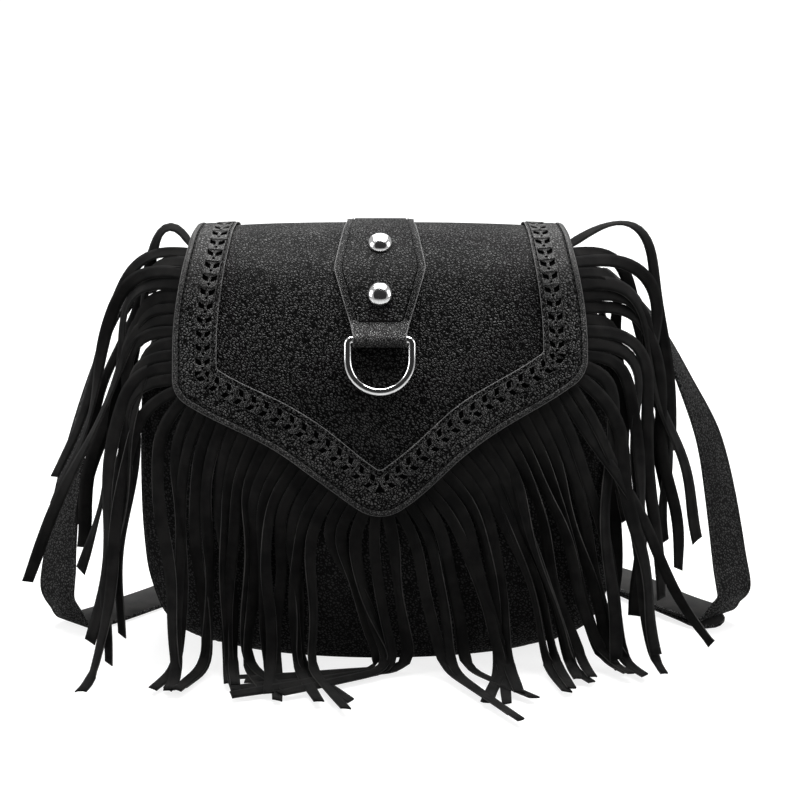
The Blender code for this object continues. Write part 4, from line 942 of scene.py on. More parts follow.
@dataclass
class BodyLeather:
    """The front, the back, the gusset and the lining of the body."""

    form: BodyForm
    finishes: Finishes
    repeater: Repeater
    columns: int = 88
    rows: int = 72
    crease: float = 0.0007
    side_part: float = 10 / 31

    def _panel(self, top: float, outer: Callable[[np.ndarray, np.ndarray], np.ndarray], side: float,
               seed: int) -> np.ndarray:
        """Gives a panel's grid, with soft creases that die out at its seams.

        Args:
            top: The panel's height.
            outer: Its outer face, y for x and z.
            side: 1 for the front and -1 for the back.
            seed: Chooses its creases.

        Returns:
            Rows x columns x 3.
        """
        u, v = np.meshgrid(np.linspace(0, 1, self.columns + 1), np.linspace(0, 1, self.rows + 1))
        z = top * v**1.35
        x = side * self.form.half_width(z) * np.sin((2 * u - 1) * math.pi / 2)
        inner = np.clip(1 - (x / self.form.half_width(z)) ** 2, 0, 1)
        fade = ease(inner / 0.5) * ease(z / 0.03) * ease((top - z) / 0.03)
        y = outer(x, z) + side * self.crease * fade * (
            ripple(x, z * 0.45, 0.05, seed) + 0.5 * ripple(x * 0.5, z, 0.02, seed + 1))
        return np.stack([x, y, z + self.form.seam_gap * (1 - v)], axis=-1)

    def build_panels(self) -> list[PathPoints]:
        """Builds the front and back panels and gives the lines of their seams' stitches."""
        form, lines = self.form, []
        for name, node, top, outer, side in (("front_leather", "front_panel", form.front_top, form.front_y, 1),
                                             ("back_leather", "back_panel", form.height, form.back_y, -1)):
            points = self._panel(top, outer, side, 11 if side > 0 else 23)
            made = thicken(grid(name, points, [self.finishes.body]), self.form.thickness)
            place(made, Body.BAG, Slot.LEATHER, node)
            for column, toward in ((4, 1), (-5, -1)):
                line = points[2:-1, column]
                across = points[2:-1, column + toward] - points[2:-1, column]
                up = unit(np.cross(np.gradient(line, axis=0), across)) * toward * -1
                up = np.where(up[:, 1:2] * side > 0, -up, up)
                lines.append(PathPoints.along(line + up * 0.0002, up, STITCH_PITCH))
        return lines

    def _gusset_place(self, along: float, across: float) -> tuple[float, float, float]:
        """Gives a point of the gusset, from the right top under the base to the left top.

        Args:
            along: Its place along the strip, 0 to 1.
            across: Its place from the front seam to the back seam, 0 to 1.

        Returns:
            The point's x, y and z.
        """
        form = self.form
        side = self.side_part
        if along < side or along > 1 - side:
            share = along / side if along < side else (1 - along) / side
            z = form.front_top * (1 - share) ** 1.5
            x = float(form.half_width(z)) * (1 if along < side else -1)
        else:
            z = 0.0
            x = -float(form.half_width(0.0)) * math.sin((2 * (along - side) / (1 - 2 * side) - 1) * math.pi / 2)
        swell = form.gusset_bulge * math.sin(math.pi * across) * float(ease(z / 0.04))
        swell *= float(ease((form.height - z) / 0.06))
        front, back = float(form.front_y(x, z)), float(form.back_y(x, z))
        margin = 0.35 * form.thickness
        y = front + margin + across * (back - front - 2 * margin)
        tuck = 0.0007 * (1 - ease(min(across, 1 - across) / 0.06))
        return x + math.copysign(swell - float(tuck) * (z > 0), x), y, z

    def build_gusset(self) -> None:
        """Builds the strip that is side, base and side."""
        shares = np.linspace(0, 1, 125)
        points = np.array([[self._gusset_place(a, c) for c in np.linspace(1, 0, 21)] for a in shares])
        made = thicken(grid("gusset_leather", points, [self.finishes.body]), self.form.thickness)
        place(made, Body.BAG, Slot.LEATHER, "gusset")

    def build_lining(self) -> None:
        """Builds the cloth pouch, with its gathers."""
        form = self.form
        inside = form.thickness + 3 * form.seam_gap
        turn = np.linspace(0, 1, 97)[:-1]
        rings = []
        for v in np.linspace(0, 1, 46):
            fold = max(0.0, (0.2 - v) / 0.2)
            height = inside + max(0.0, (v - 0.2) / 0.8) ** 1.3 * (form.front_top - 0.006 - inside)
            seen = np.where(turn <= 0.5, turn, 1 - turn) * 2
            x = -(form.half_width(height) - inside - 0.008) * np.cos(math.pi * seen)
            front = form.front_y(x, height) + inside + 0.001
            back = form.back_y(x, height) - inside - 0.001
            middle = (front + back) / 2
            side = np.sin(2 * math.pi * turn)
            y = np.where(side >= 0, middle + (front - middle) * np.abs(side) ** 0.18,
                         middle + (back - middle) * np.abs(side) ** 0.18)
            y = middle + (y - middle) * (1 - fold) * (1 - 0.012 - 0.012 * np.sin(2 * math.pi * turn * 23 + 3 * v))
            rings.append(np.stack([x, y, np.full_like(x, height)], axis=-1))
        made = grid("pouch_cloth", np.array(rings), [self.finishes.cloth], around=True)
        work = bmesh.new()
        work.from_mesh(made.data)
        bmesh.ops.remove_doubles(work, verts=work.verts, dist=1e-5)
        bmesh.ops.holes_fill(work, edges=[e for e in work.edges if e.is_boundary and e.verts[0].co.z < 0.05])
        bmesh.ops.recalc_face_normals(work, faces=work.faces)
        work.to_mesh(made.data)
        work.free()
        place(thicken(made, 0.001), Body.BAG, Slot.CLOTH, "lining")


# The flap


@dataclass
class FlapForm:
    """The shape of the flap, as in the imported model."""

    body: BodyForm
    width: float = 0.242
    length: float = 0.2135
    lean: float = math.radians(34)
    corner: float = 0.018
    tip: float = 0.022
    hollow: float = 0.0045
    back_share: float = 0.9
    counts: tuple[int, int, int, int] = (11, 3, 6, 3)
    row_shape: Table = ((0, 0), (0.2, 0.11), (0.7, 0.57), (1, 1))
    spread: float = 1.4
    flare_end: float = 0.115
    skew: float = 0.05
    curl: float = 0.013
    drop: float = 0.004
    crown_rise: float = 0.0105
    crown_shape: Table = ((0.08, 0.62), (0.26, 1), (0.44, 0.88), (0.64, 0.15), (0.83, -1.05))
    join: float = 0.213
    tab_end_width: float = 0.031
    border_width: float = 0.0265
    panel_top: float = 0.00245
    border_top: float = 0.0044
    underside: float = 0.00225
    standoff: float = 0.00705
    fold_gap: float = 0.0012
    crown: tuple[np.ndarray, np.ndarray, np.ndarray] = field(init=False)
    hinge: tuple[float, float] = field(init=False)

    def __post_init__(self) -> None:
        """Works out the hinge and the flap's centre line."""
        body = self.body
        self.hinge = (float(body.back_y(0.0, body.height)) + self.fold_gap, body.height + self.fold_gap)
        layers = self.border_top + self.fold_gap
        start = np.array([self.hinge[0] - layers, self.hinge[1] + self.fold_gap / 2])
        join = np.array([float(body.front_y(0.0, self.join)) - self.standoff, self.join])
        knots = [start]
        for forward, rise in self.crown_shape:
            knots.append(np.array([start[0] + forward * (join[0] - start[0]), start[1] + rise * self.crown_rise]))
        heights = np.linspace(self.join, 0.30 * body.height, 9)
        knots += [np.array([float(body.front_y(0.0, z)) - self.standoff, z]) for z in heights]
        knots = np.array(knots)
        along = lengths_along(knots)
        fine = np.linspace(0, along[-1], 400)
        y = smooth_through(np.column_stack([along, knots[:, 0]]), fine)
        z = smooth_through(np.column_stack([along, knots[:, 1]]), fine)
        self.crown = (np.concatenate([[0], np.cumsum(np.hypot(np.diff(y), np.diff(z)))]), y, z)

    def surface(self, x: np.ndarray | float, v: np.ndarray | float) -> np.ndarray:
        """Gives the place on the flap's middle surface of a point x, v of its flat shape."""
        x, v = np.asarray(x, float), np.asarray(v, float)
        beside = ease((np.abs(x) - self.tab_end_width / 2) / self.tab_end_width)
        v = v - self.skew * x * beside * np.clip(v / self.flare_end, 0, 1)
        x = x * (self.back_share + (1 - self.back_share) * ease(v / self.flare_end))
        edge = np.abs(x / (self.width / 2)) ** 2.4
        y = np.interp(v, self.crown[0], self.crown[1]) + self.curl * edge * ease((v - 0.040) / 0.060)
        z = np.interp(v, self.crown[0], self.crown[2]) - self.drop * edge * ease(v / 0.020)
        return np.stack([x, y, z], axis=-1)

    def normal(self, x: np.ndarray | float, v: np.ndarray | float) -> np.ndarray:
        """Gives the outward direction of the flap at x, v."""
        step = 6e-4
        x, v = np.asarray(x, float), np.asarray(v, float)
        across = self.surface(x + step, v) - self.surface(x - step, v)
        along = self.surface(x, v + step) - self.surface(x, np.maximum(v - step, 0))
        return unit(np.cross(along, across))

    def point(self, x: np.ndarray | float, v: np.ndarray | float, lift: np.ndarray | float = 0.0) -> np.ndarray:
        """Gives a point at that height above the flap's middle surface."""
        return self.surface(x, v) + self.normal(x, v) * np.asarray(lift, float)[..., None]

    def edge(self, inset: float, fineness: int = 1) -> np.ndarray:
        """Gives the flap's flat outline, from the left end of the fold to the right one.

        Args:
            inset: How far inside the flap's edge.
            fineness: Multiplies the number of points.

        Returns:
            The outline's (x, v) points.
        """
        side, corner, slope, tip = (fineness * count for count in self.counts)
        half, lean = self.width / 2, self.lean
        tip_v = self.length + self.tip * (1 / math.cos(lean) - 1) - inset / math.cos(lean)
        corner_radius, tip_radius = max(self.corner - inset, 0.003), max(self.tip - inset, 0.004)
        left = inset - half
        corner_v = tip_v + left * math.tan(lean)
        turn = math.pi / 2 - lean
        reach = corner_radius * math.tan(turn / 2)
        straight = (corner_v - reach) * smooth_through(self.row_shape, np.linspace(0, 1, side + 1))
        points = [(left, v) for v in straight]
        centre = (left + corner_radius, corner_v - reach)
        for angle in np.linspace(0, turn, corner + 1)[1:]:
            points.append((centre[0] - corner_radius * math.cos(angle), centre[1] + corner_radius * math.sin(angle)))
        start = np.array(points[-1])
        end = np.array([-tip_radius * math.sin(lean), tip_v - tip_radius * math.sin(lean) * math.tan(lean)])
        inward = np.array([math.sin(lean), -math.cos(lean)])
        for t in np.linspace(0, 1, slope + 1)[1:]:
            points.append(tuple(start + t * (end - start) + self.hollow * math.sin(math.pi * t) ** 2 * inward))
        middle = end[1] - tip_radius * math.cos(lean)
        for angle in np.linspace(lean, 0, tip + 1)[1:]:
            points.append((-tip_radius * math.sin(angle), middle + tip_radius * math.cos(angle)))
        points = np.array(points)
        return np.concatenate([points, points[-2::-1] * (-1, 1)])

    def band_line(self, inset: float, fineness: int = 6) -> np.ndarray:
        """Gives a flat line round the border at an inset from its edge."""
        outer, inner = self.edge(0.0, fineness), self.edge(self.border_width, fineness)
        return outer + inset / self.border_width * (inner - outer)


@dataclass
class FlapLeather:
    """The flap's cover, its border with braided lacing, its backing, its fold and the centre tab."""

    form: FlapForm
    finishes: Finishes
    repeater: Repeater
    fineness: int = 5
    lace_inset: float = 0.0185
    lace_width: float = 0.0098
    lace_period: float = 0.0082
    lace_depth: float = 0.0010
    tab_top: float = 0.044
    tab_middle: float = 0.056
    tab_middle_v: float = 0.068
    tab_thickness: float = 0.0014
    bar_v: float = 0.1110
    lap_length: float = 0.0135
    pucker: float = 0.00022
    ring_wire: float = 0.0048
    layer_gap: float = 0.00055
    overlay: float = 0.00045
    overlay_inset: float = 0.0050
    overlay_end: float = 0.1000
    corner_reach: float = 0.002

    def _layer(self, name: str, inset: float, top: float, thickness: float, finish: bpy.types.Material,
               swell: float) -> bpy.types.Object:
        """Builds a whole layer of the flap.

        Args:
            name: The piece's name.
            inset: How far the layer stays inside the flap's edge.
            top: The height of its upper face above the flap's middle surface.
            thickness: In metres.
            finish: Its material.
            swell: The height of its uneven swells.

        Returns:
            The piece's object.
        """
        edge = self.form.edge(inset, self.fineness)
        rows = len(edge) // 2
        u = np.linspace(0, 1, 61)
        across = np.sin((2 * u - 1) * self.form.spread) / math.sin(self.form.spread)
        half = edge[rows::-1]
        x = -half[:, :1] * across[None]
        v = np.repeat(half[:, 1:], len(u), axis=1)
        fade = ease((self.form.width / 2 - 0.02 - np.abs(x)) / 0.03) * ease(v / 0.04)
        lift = top + swell * fade * ripple(x, v, 0.06, 5)
        points = self.form.point(x, v, lift)
        return thicken(grid(name, points, [finish]), thickness)

    def build_cover(self) -> None:
        """Builds the flap's leather and the backing under it."""
        form = self.form
        cover = self._layer("flap_leather", 0.0015, form.panel_top, 0.0014, self.finishes.leather, 0.0004)
        place(cover, Body.FLAP, Slot.LEATHER, "flap_panel")
        backing = self._layer("flap_backing", 0.0010, -0.00105, 0.0012, self.finishes.cloth, 0.0)
        place(backing, Body.FLAP, Slot.CLOTH, "flap_lining")

    def build_border(self) -> None:
        """Builds the border: a rolled outer edge, a sewn groove, the channel of the lacing and a cut inner edge. The
        grooves and the channel take painted shade, the rolled edge a partly painted highlight.
        """
        form = self.form
        near, far = self.lace_inset - self.lace_width / 2, self.lace_inset + self.lace_width / 2
        section = [(0.0, -0.0013), (0.0002, -0.0006), (0.0007, -0.0001), (0.0014, 0.0003), (0.0022, 0.0005),
                   (0.0030, 0.0004), (0.0037, 0.0001), (0.0042, -0.0007), (0.0046, -0.0007), (0.0051, -0.0001),
                   (0.0058, 0.0001), (0.0075, 0.0001), (0.0100, 0.0), (0.0120, 0.0), (near - 0.0008, 0.0),
                   (near - 0.0001, 0.0), (near + 0.0001, -0.0011), (self.lace_inset, -0.0011), (far - 0.0001, -0.0011),
                   (far + 0.0001, 0.0), (far + 0.0006, -0.0001), (far + 0.0010, -0.0006), (far + 0.0014, -0.0001),
                   (far + 0.0020, 0.0), (form.border_width - 0.0004, 0.0), (form.border_width, -0.0002)]
        outer, inner = form.edge(0.0, self.fineness), form.edge(form.border_width, self.fineness)
        insets = np.array([s for s, _ in section])[::-1]
        lifts = np.array([h for _, h in section])[::-1]
        flat = inner[:, None] + (1 - insets / form.border_width)[None, :, None] * (outer - inner)[:, None]
        points = form.point(flat[..., 0], flat[..., 1], np.broadcast_to(form.border_top + lifts, flat.shape[:2]))
        middle = (insets[:-1] + insets[1:]) / 2
        grained, rolled, painted_shade, cut = range(4)
        # The rolled edge takes the turned-edge leather, partly painted highlight; the grooves and the lacing's channel
        # take painted shade.
        kinds = np.where(middle < 0.0046, rolled, grained)
        for low, high in ((near, far), (0.0037, 0.0046), (far + 0.0006, far + 0.0014)):
            kinds = np.where((middle > low) & (middle < high), painted_shade, kinds)
        kinds = np.where((middle < 0.0007) | (middle > form.border_width - 0.0005), cut, kinds)
        finishes = [self.finishes.border, self.finishes.smooth, self.finishes.painted_shade, self.finishes.cut_edge]
        made = thicken(grid("flap_border_leather", points, finishes, column_finish=kinds.tolist()), 0.0012, edge=0.0)
        place(made, Body.FLAP, Slot.EDGE, "flap_border")

    def _lace_unit(self) -> bpy.types.Object:
        """Makes one unit of the braided lacing: a chevron with two slanted openings and a small one."""
        half, period = self.lace_width / 2 + 0.0002, self.lace_period + 0.0001
        slot = [(-0.0044, 0.0002), (-0.0026, 0.0014), (-0.0009, 0.0021), (-0.0008, 0.0049), (-0.0026, 0.0044),
                (-0.0044, 0.0034)]
        hole = [(0.0009 * math.cos(a), 0.0063 + 0.0008 * math.sin(a)) for a in np.linspace(0, 2 * math.pi, 9)[:-1]]
        loops = [[(-half, 0), (half, 0), (half, period), (-half, period)], slot, [(-x, y) for x, y in slot], hole]
        work = bmesh.new()
        edges = []
        for loop in loops:
            verts = [work.verts.new((x, y - self.lace_period / 2, 0)) for x, y in loop]
            edges += [work.edges.new((verts[k], verts[(k + 1) % len(verts)])) for k in range(len(verts))]
        bmesh.ops.triangle_fill(work, use_beauty=True, use_dissolve=False, edges=edges, normal=(0, 0, 1))
        bmesh.ops.recalc_face_normals(work, faces=work.faces)
        for face in work.faces:
            if face.normal.z < 0:
                face.normal_flip()
        mesh = bpy.data.meshes.new("lace_unit")
        work.to_mesh(mesh)
        work.free()
        made = link("lace_unit", mesh, [])
        made = thicken(made, self.lace_depth, edge=0.00028)
        for polygon in made.data.polygons:
            polygon.use_smooth = True
        return made

    def build_lacing(self) -> None:
        """Builds the braided lacing along its channel."""
        form = self.form
        whole = softened(form.band_line(self.lace_inset), 12)
        middle = len(whole) // 2 + 1
        halves = []
        for flat in (whole[:middle], whole[:middle - 2:-1]):
            line = form.point(flat[:, 0], flat[:, 1], form.border_top + 0.00025)
            halves.append(PathPoints.along(line, form.normal(flat[:, 0], flat[:, 1]), self.lace_period, 0.0005))
        path = PathPoints.joined(halves)
        made = self.repeater.repeat("flap_lacing", self._lace_unit(), path, self.finishes.lace)
        place(made, Body.FLAP, Slot.EDGE, "braided_lacing")

    def build_stitches(self) -> None:
        """Sews the border's outer groove and its inner edge, and the tab."""
        form = self.form
        parts = []
        for inset, lift in ((0.0044, -0.0002), (self.lace_inset + self.lace_width / 2 + 0.0010, -0.0001)):
            flat = form.band_line(inset)
            line = form.point(flat[:, 0], flat[:, 1], form.border_top + lift)
            parts.append(PathPoints.along(line, form.normal(flat[:, 0], flat[:, 1]), STITCH_PITCH, 0.001))
        v = np.linspace(0.001, self.overlay_end - 0.001, 90)
        for side in (-1, 1):
            x = side * (self._tab_width(v) / 2 - self.overlay_inset + 0.0012)
            lift = form.panel_top + self.layer_gap + self.tab_thickness + 0.0002
            lift = lift + self._lap(v)
            line = form.point(x, v, lift)
            parts.append(PathPoints.along(line, form.normal(x, v), STITCH_PITCH, 0.001))
        end = np.full(20, self.overlay_end + 0.0010)
        half = float(self._tab_width(end)[0]) / 2 - self.overlay_inset
        x = np.linspace(-half, half, 20)
        line = form.point(x, end, form.panel_top + self.layer_gap + self.tab_thickness + 0.0001 + self._lap(end))
        parts.append(PathPoints.along(line, form.normal(x, end), STITCH_PITCH))
        made = self.repeater.repeat("flap_stitches", stitch_piece(), PathPoints.joined(parts), self.finishes.thread,
                                    0.06, 3)
        place(made, Body.FLAP, Slot.EDGE)

    def _tab_width(self, v: np.ndarray) -> np.ndarray:
        """Gives the tab's width along the flap, with its corners rounded a little."""
        end = self.form.tab_end_width
        places = (0.0, 0.4 * self.tab_middle_v, self.tab_middle_v, self.bar_v - 0.004, self.bar_v + 0.01)
        widths = (self.tab_top, self.tab_top, self.tab_middle, end, end)
        near = [np.interp(v + offset, places, widths) for offset in (-self.corner_reach, 0.0, self.corner_reach)]
        return sum(near) / len(near)

    def _lap(self, v: np.ndarray) -> np.ndarray:
        """Gives how much the tab rises towards the ring that it is folded round."""
        start = self.bar_v - self.lap_length
        return (self.tab_thickness + self.layer_gap) * ease((v - start) / (0.7 * self.lap_length))

    def bar_lift(self) -> float:
        """Gives the height of the D-ring's bar above the flap's middle surface."""
        return self.form.panel_top + self.layer_gap + self.tab_thickness + 0.0005 + self.ring_wire / 2

    def build_tab(self) -> None:
        """Builds the centre tab: smooth margins, a raised grained field, and its end folded round the D-ring. Its
        grooves and a line across the end of the field take painted shade, and the fold a partly painted highlight.
        """
        form = self.form
        radius = self.ring_wire / 2 + 0.0005 + self.tab_thickness / 2
        low = form.panel_top + self.layer_gap + self.tab_thickness / 2
        high = low + self.tab_thickness + self.layer_gap
        bar, reach = self.bar_lift(), 0.009
        over = self.bar_v - reach
        front = np.arange(0.0, over + 1e-6, 0.0012)
        path = [(v, low + float(self._lap(v))) for v in front]
        rise = math.atan2(bar - high, reach) + math.asin(radius / math.hypot(bar - high, reach))
        for angle in np.linspace(math.pi / 2 + rise, -math.pi / 2, 28):
            path.append((self.bar_v + radius * math.cos(angle), bar + radius * math.sin(angle)))
        for share in np.linspace(0.25, 0.75, 5):
            path.append((self.bar_v - share * self.lap_length, low - 0.0009 * share))
        path = np.array(path)
        insets = np.array([0.0, 0.0006, 0.0018, 0.0034, self.overlay_inset - 0.0006, self.overlay_inset - 0.0001,
                           self.overlay_inset + 0.0004, self.overlay_inset + 0.0010])
        rises = np.array([0, 0, 0, 0, -0.0002, -0.0006, self.overlay, self.overlay])
        half = self._tab_width(path[:, 0])[:, None] / 2
        left = -(half - insets[None])
        field_share = np.linspace(-1, 1, 15)[None, 1:-1]
        middle = (half - insets[-1]) * field_share
        x = np.concatenate([left, middle, -left[:, ::-1]], axis=1)
        raised = np.concatenate([rises, np.full(field_share.shape[1], self.overlay), rises[::-1]])
        on_front = np.arange(len(path)) < len(front)
        shown = np.where(on_front, ease((self.overlay_end - path[:, 0]) / 0.0008 + 0.5), 0.0)
        lift = path[:, 1:] + raised[None] * shown[:, None]
        along = np.broadcast_to(path[:, :1], x.shape)
        near_bar = 1 - ease(np.abs(path[:, :1] - self.bar_v) / 0.006)
        lift = lift + self.pucker * near_bar * (~on_front)[:, None] * ripple(x, along * 0.2, 0.0026, 9)
        points = form.point(x[::-1], along[::-1], lift[::-1])
        columns = points.shape[1] - 1
        inner = np.zeros(columns, int)
        grained, margin, smooth, cut, painted_shade = range(5)
        # The groove inside each margin takes painted shade.
        from_edge = np.array([cut, margin, margin, margin, painted_shade, painted_shade, grained])
        inner[:len(from_edge)] = from_edge
        inner[-len(from_edge):] = from_edge[::-1]
        finishes = [self.finishes.leather, self.finishes.margin, self.finishes.smooth, self.finishes.cut_edge,
                    self.finishes.painted_shade]
        made = grid("tab_leather", points, finishes, column_finish=inner.tolist())
        rows = points.shape[0] - 1
        numbers = np.tile(inner, rows).reshape(rows, columns)
        ends = rows - len(front[front < self.overlay_end])
        # The fold round the bar takes the turned-edge leather, partly painted highlight, and the line where the field
        # ends takes painted shade.
        numbers[: ends + 1] = smooth
        numbers[ends, len(from_edge) - 1:-len(from_edge) + 1] = painted_shade
        numbers[: ends + 1, [0, -1]] = cut
        made.data.polygons.foreach_set("material_index", numbers.astype(np.int32).ravel())
        thicken(made, self.tab_thickness, offset=0.0, edge=0.0004)
        place(made, Body.FLAP, Slot.LEATHER, "centre_tab")

    def build_fold(self) -> None:
        """Builds the leather that bends between the back panel and the flap."""
        form, body = self.form, self.form.body
        x = np.linspace(-1, 1, 61)
        rows = []
        hinge_y, hinge_z = form.hinge
        flap_start = form.surface(0.0, 0.0)
        for t in np.linspace(0, 1, 15):
            half_back = float(body.half_width(body.height)) - 0.002
            half_flap = form.width / 2 * form.back_share
            half = half_back + (half_flap - half_back) * float(ease(t * 1.3))
            angle = -0.15 + t * (math.pi / 2 + 0.15)
            reach_y = hinge_y - 0.0040 - flap_start[1] + 0.0052
            y = flap_start[1] + reach_y * math.cos(angle)
            z = body.height - 0.004 + (form.panel_top + 0.0046) * math.sin(angle) + 0.0005
            low = (1 - t) * 0.012
            places = np.stack([x * half, np.full_like(x, y), np.full_like(x, z)], axis=-1)
            if t == 0:
                down = places.copy()
                down[:, 2] -= low
                down[:, 1] = body.back_y(down[:, 0], down[:, 2]) + 0.0016
                rows.append(down)
            rows.append(places)
        made = thicken(grid("flap_fold_leather", np.array(rows)[:, ::-1], [self.finishes.leather]), 0.0014)
        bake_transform(made)
        log.info("%s: %d faces", made.name, len(made.data.polygons))


# Steel fittings


@dataclass
class Fittings:
    """The rivets, the D-ring and the magnetic snap."""

    flap: FlapLeather
    finishes: Finishes
    rivet_places: tuple[float, float] = (0.0515, 0.0845)
    rivet_radius: float = 0.0073
    rivet_dome: float = 0.0044
    ring_width: float = 0.042
    ring_length: float = 0.035
    ring_corner: float = 0.0028
    snap_height: float = 0.130

    def build_rivets(self) -> None:
        """Builds the two domed rivets with their rims."""
        form = self.flap.form
        seat = form.panel_top + self.flap.layer_gap + self.flap.tab_thickness
        for name, v in zip(("rivet_upper", "rivet_lower"), self.rivet_places):
            profile = [(self.rivet_radius * math.cos(a), 0.0010 + self.rivet_dome * math.sin(a) ** 1.1)
                       for a in np.linspace(math.pi / 2, 0.06, 14)]
            profile[0] = (0.0, profile[0][1])
            back = -(seat + form.underside) - 0.0006
            profile += [(self.rivet_radius, 0.0008), (self.rivet_radius - 0.0002, 0.0003), (0.0015, 0.0003),
                        (0.0015, back), (0.0036, back), (0.0038, back - 0.0003), (0.0034, back - 0.0006),
                        (0.0, back - 0.0006)]
            made = turned("dome_" + name, profile, form.point(0.0, v, seat), form.normal(0.0, v),
                          self.finishes.steel)
            place(made, Body.FLAP, Slot.STEEL, name)

    def build_d_ring(self) -> None:
        """Builds the D-ring with its softly ridged section."""
        form = self.flap.form
        wire = self.flap.ring_wire
        bar = form.point(0.0, self.flap.bar_v, self.flap.bar_lift())
        half, length, corner = (self.ring_width - wire) / 2, self.ring_length - wire, self.ring_corner
        rest = form.point(0.0, self.flap.bar_v + length, form.panel_top + wire / 2 + 0.0010)
        down = unit(rest - bar)
        flat = [(t * (half - corner), 0.0) for t in np.linspace(-0.9, 1, 10)]
        for angle in np.linspace(math.pi / 2, 0, 7)[1:]:
            flat.append((half - corner + corner * math.cos(angle), corner - corner * math.sin(angle)))
        for angle in np.linspace(0, math.pi, 49):
            flat.append((half * math.cos(angle), length - half + half * math.sin(angle)))
        for angle in np.linspace(math.pi, math.pi / 2, 7):
            flat.append((-half + corner + corner * math.cos(angle), corner - corner * math.sin(angle)))
        points = np.array([bar + (x, *(q * down[1:])) for x, q in flat])
        middle = bar + down * (length - half)
        outward = unit(points - middle)
        angle = np.linspace(0, 2 * math.pi, 20, endpoint=False)
        section = np.stack([np.sign(np.cos(angle)) * np.abs(np.cos(angle)) ** 0.8,
                            np.sign(np.sin(angle)) * np.abs(np.sin(angle)) ** 0.8], axis=1) * wire / 2
        made = sweep("d_ring_steel", points, outward, section, [self.finishes.steel], closed=True)
        place(made, Body.RING, Slot.STEEL, "d_ring")

    def build_snap(self) -> None:
        """Builds the two halves of the magnetic snap."""
        body = self.flap.form.body
        z = self.snap_height
        front = np.array([0.0, float(body.front_y(0.0, z)), z])
        slope = float(body.front_y(0.0, z + 0.002) - body.front_y(0.0, z - 0.002))
        axis = unit((0.0, -0.004, slope))
        radius, foot, top = 0.009, 0.0004, 0.0024
        socket = [(0, top - 0.0011), (0.0042, top - 0.0011), (0.0045, top), (radius - 0.0006, top),
                  (radius, top - 0.0006), (radius, foot), (0, foot)]
        place(turned("snap_socket_steel", socket, front, axis, self.finishes.steel), Body.BAG, Slot.STEEL,
              "snap_socket")
        stud = [(0, 0.0016), (radius, 0.0016), (radius, 0.0006), (radius - 0.0006, 0), (0.0028, 0),
                (0.0024, -0.0007), (0, -0.0007)]
        place(turned("snap_stud_steel", stud, front + axis * (top + 0.0004), axis, self.finishes.steel), Body.FLAP,
              Slot.STEEL, "snap_stud")


# The fringe


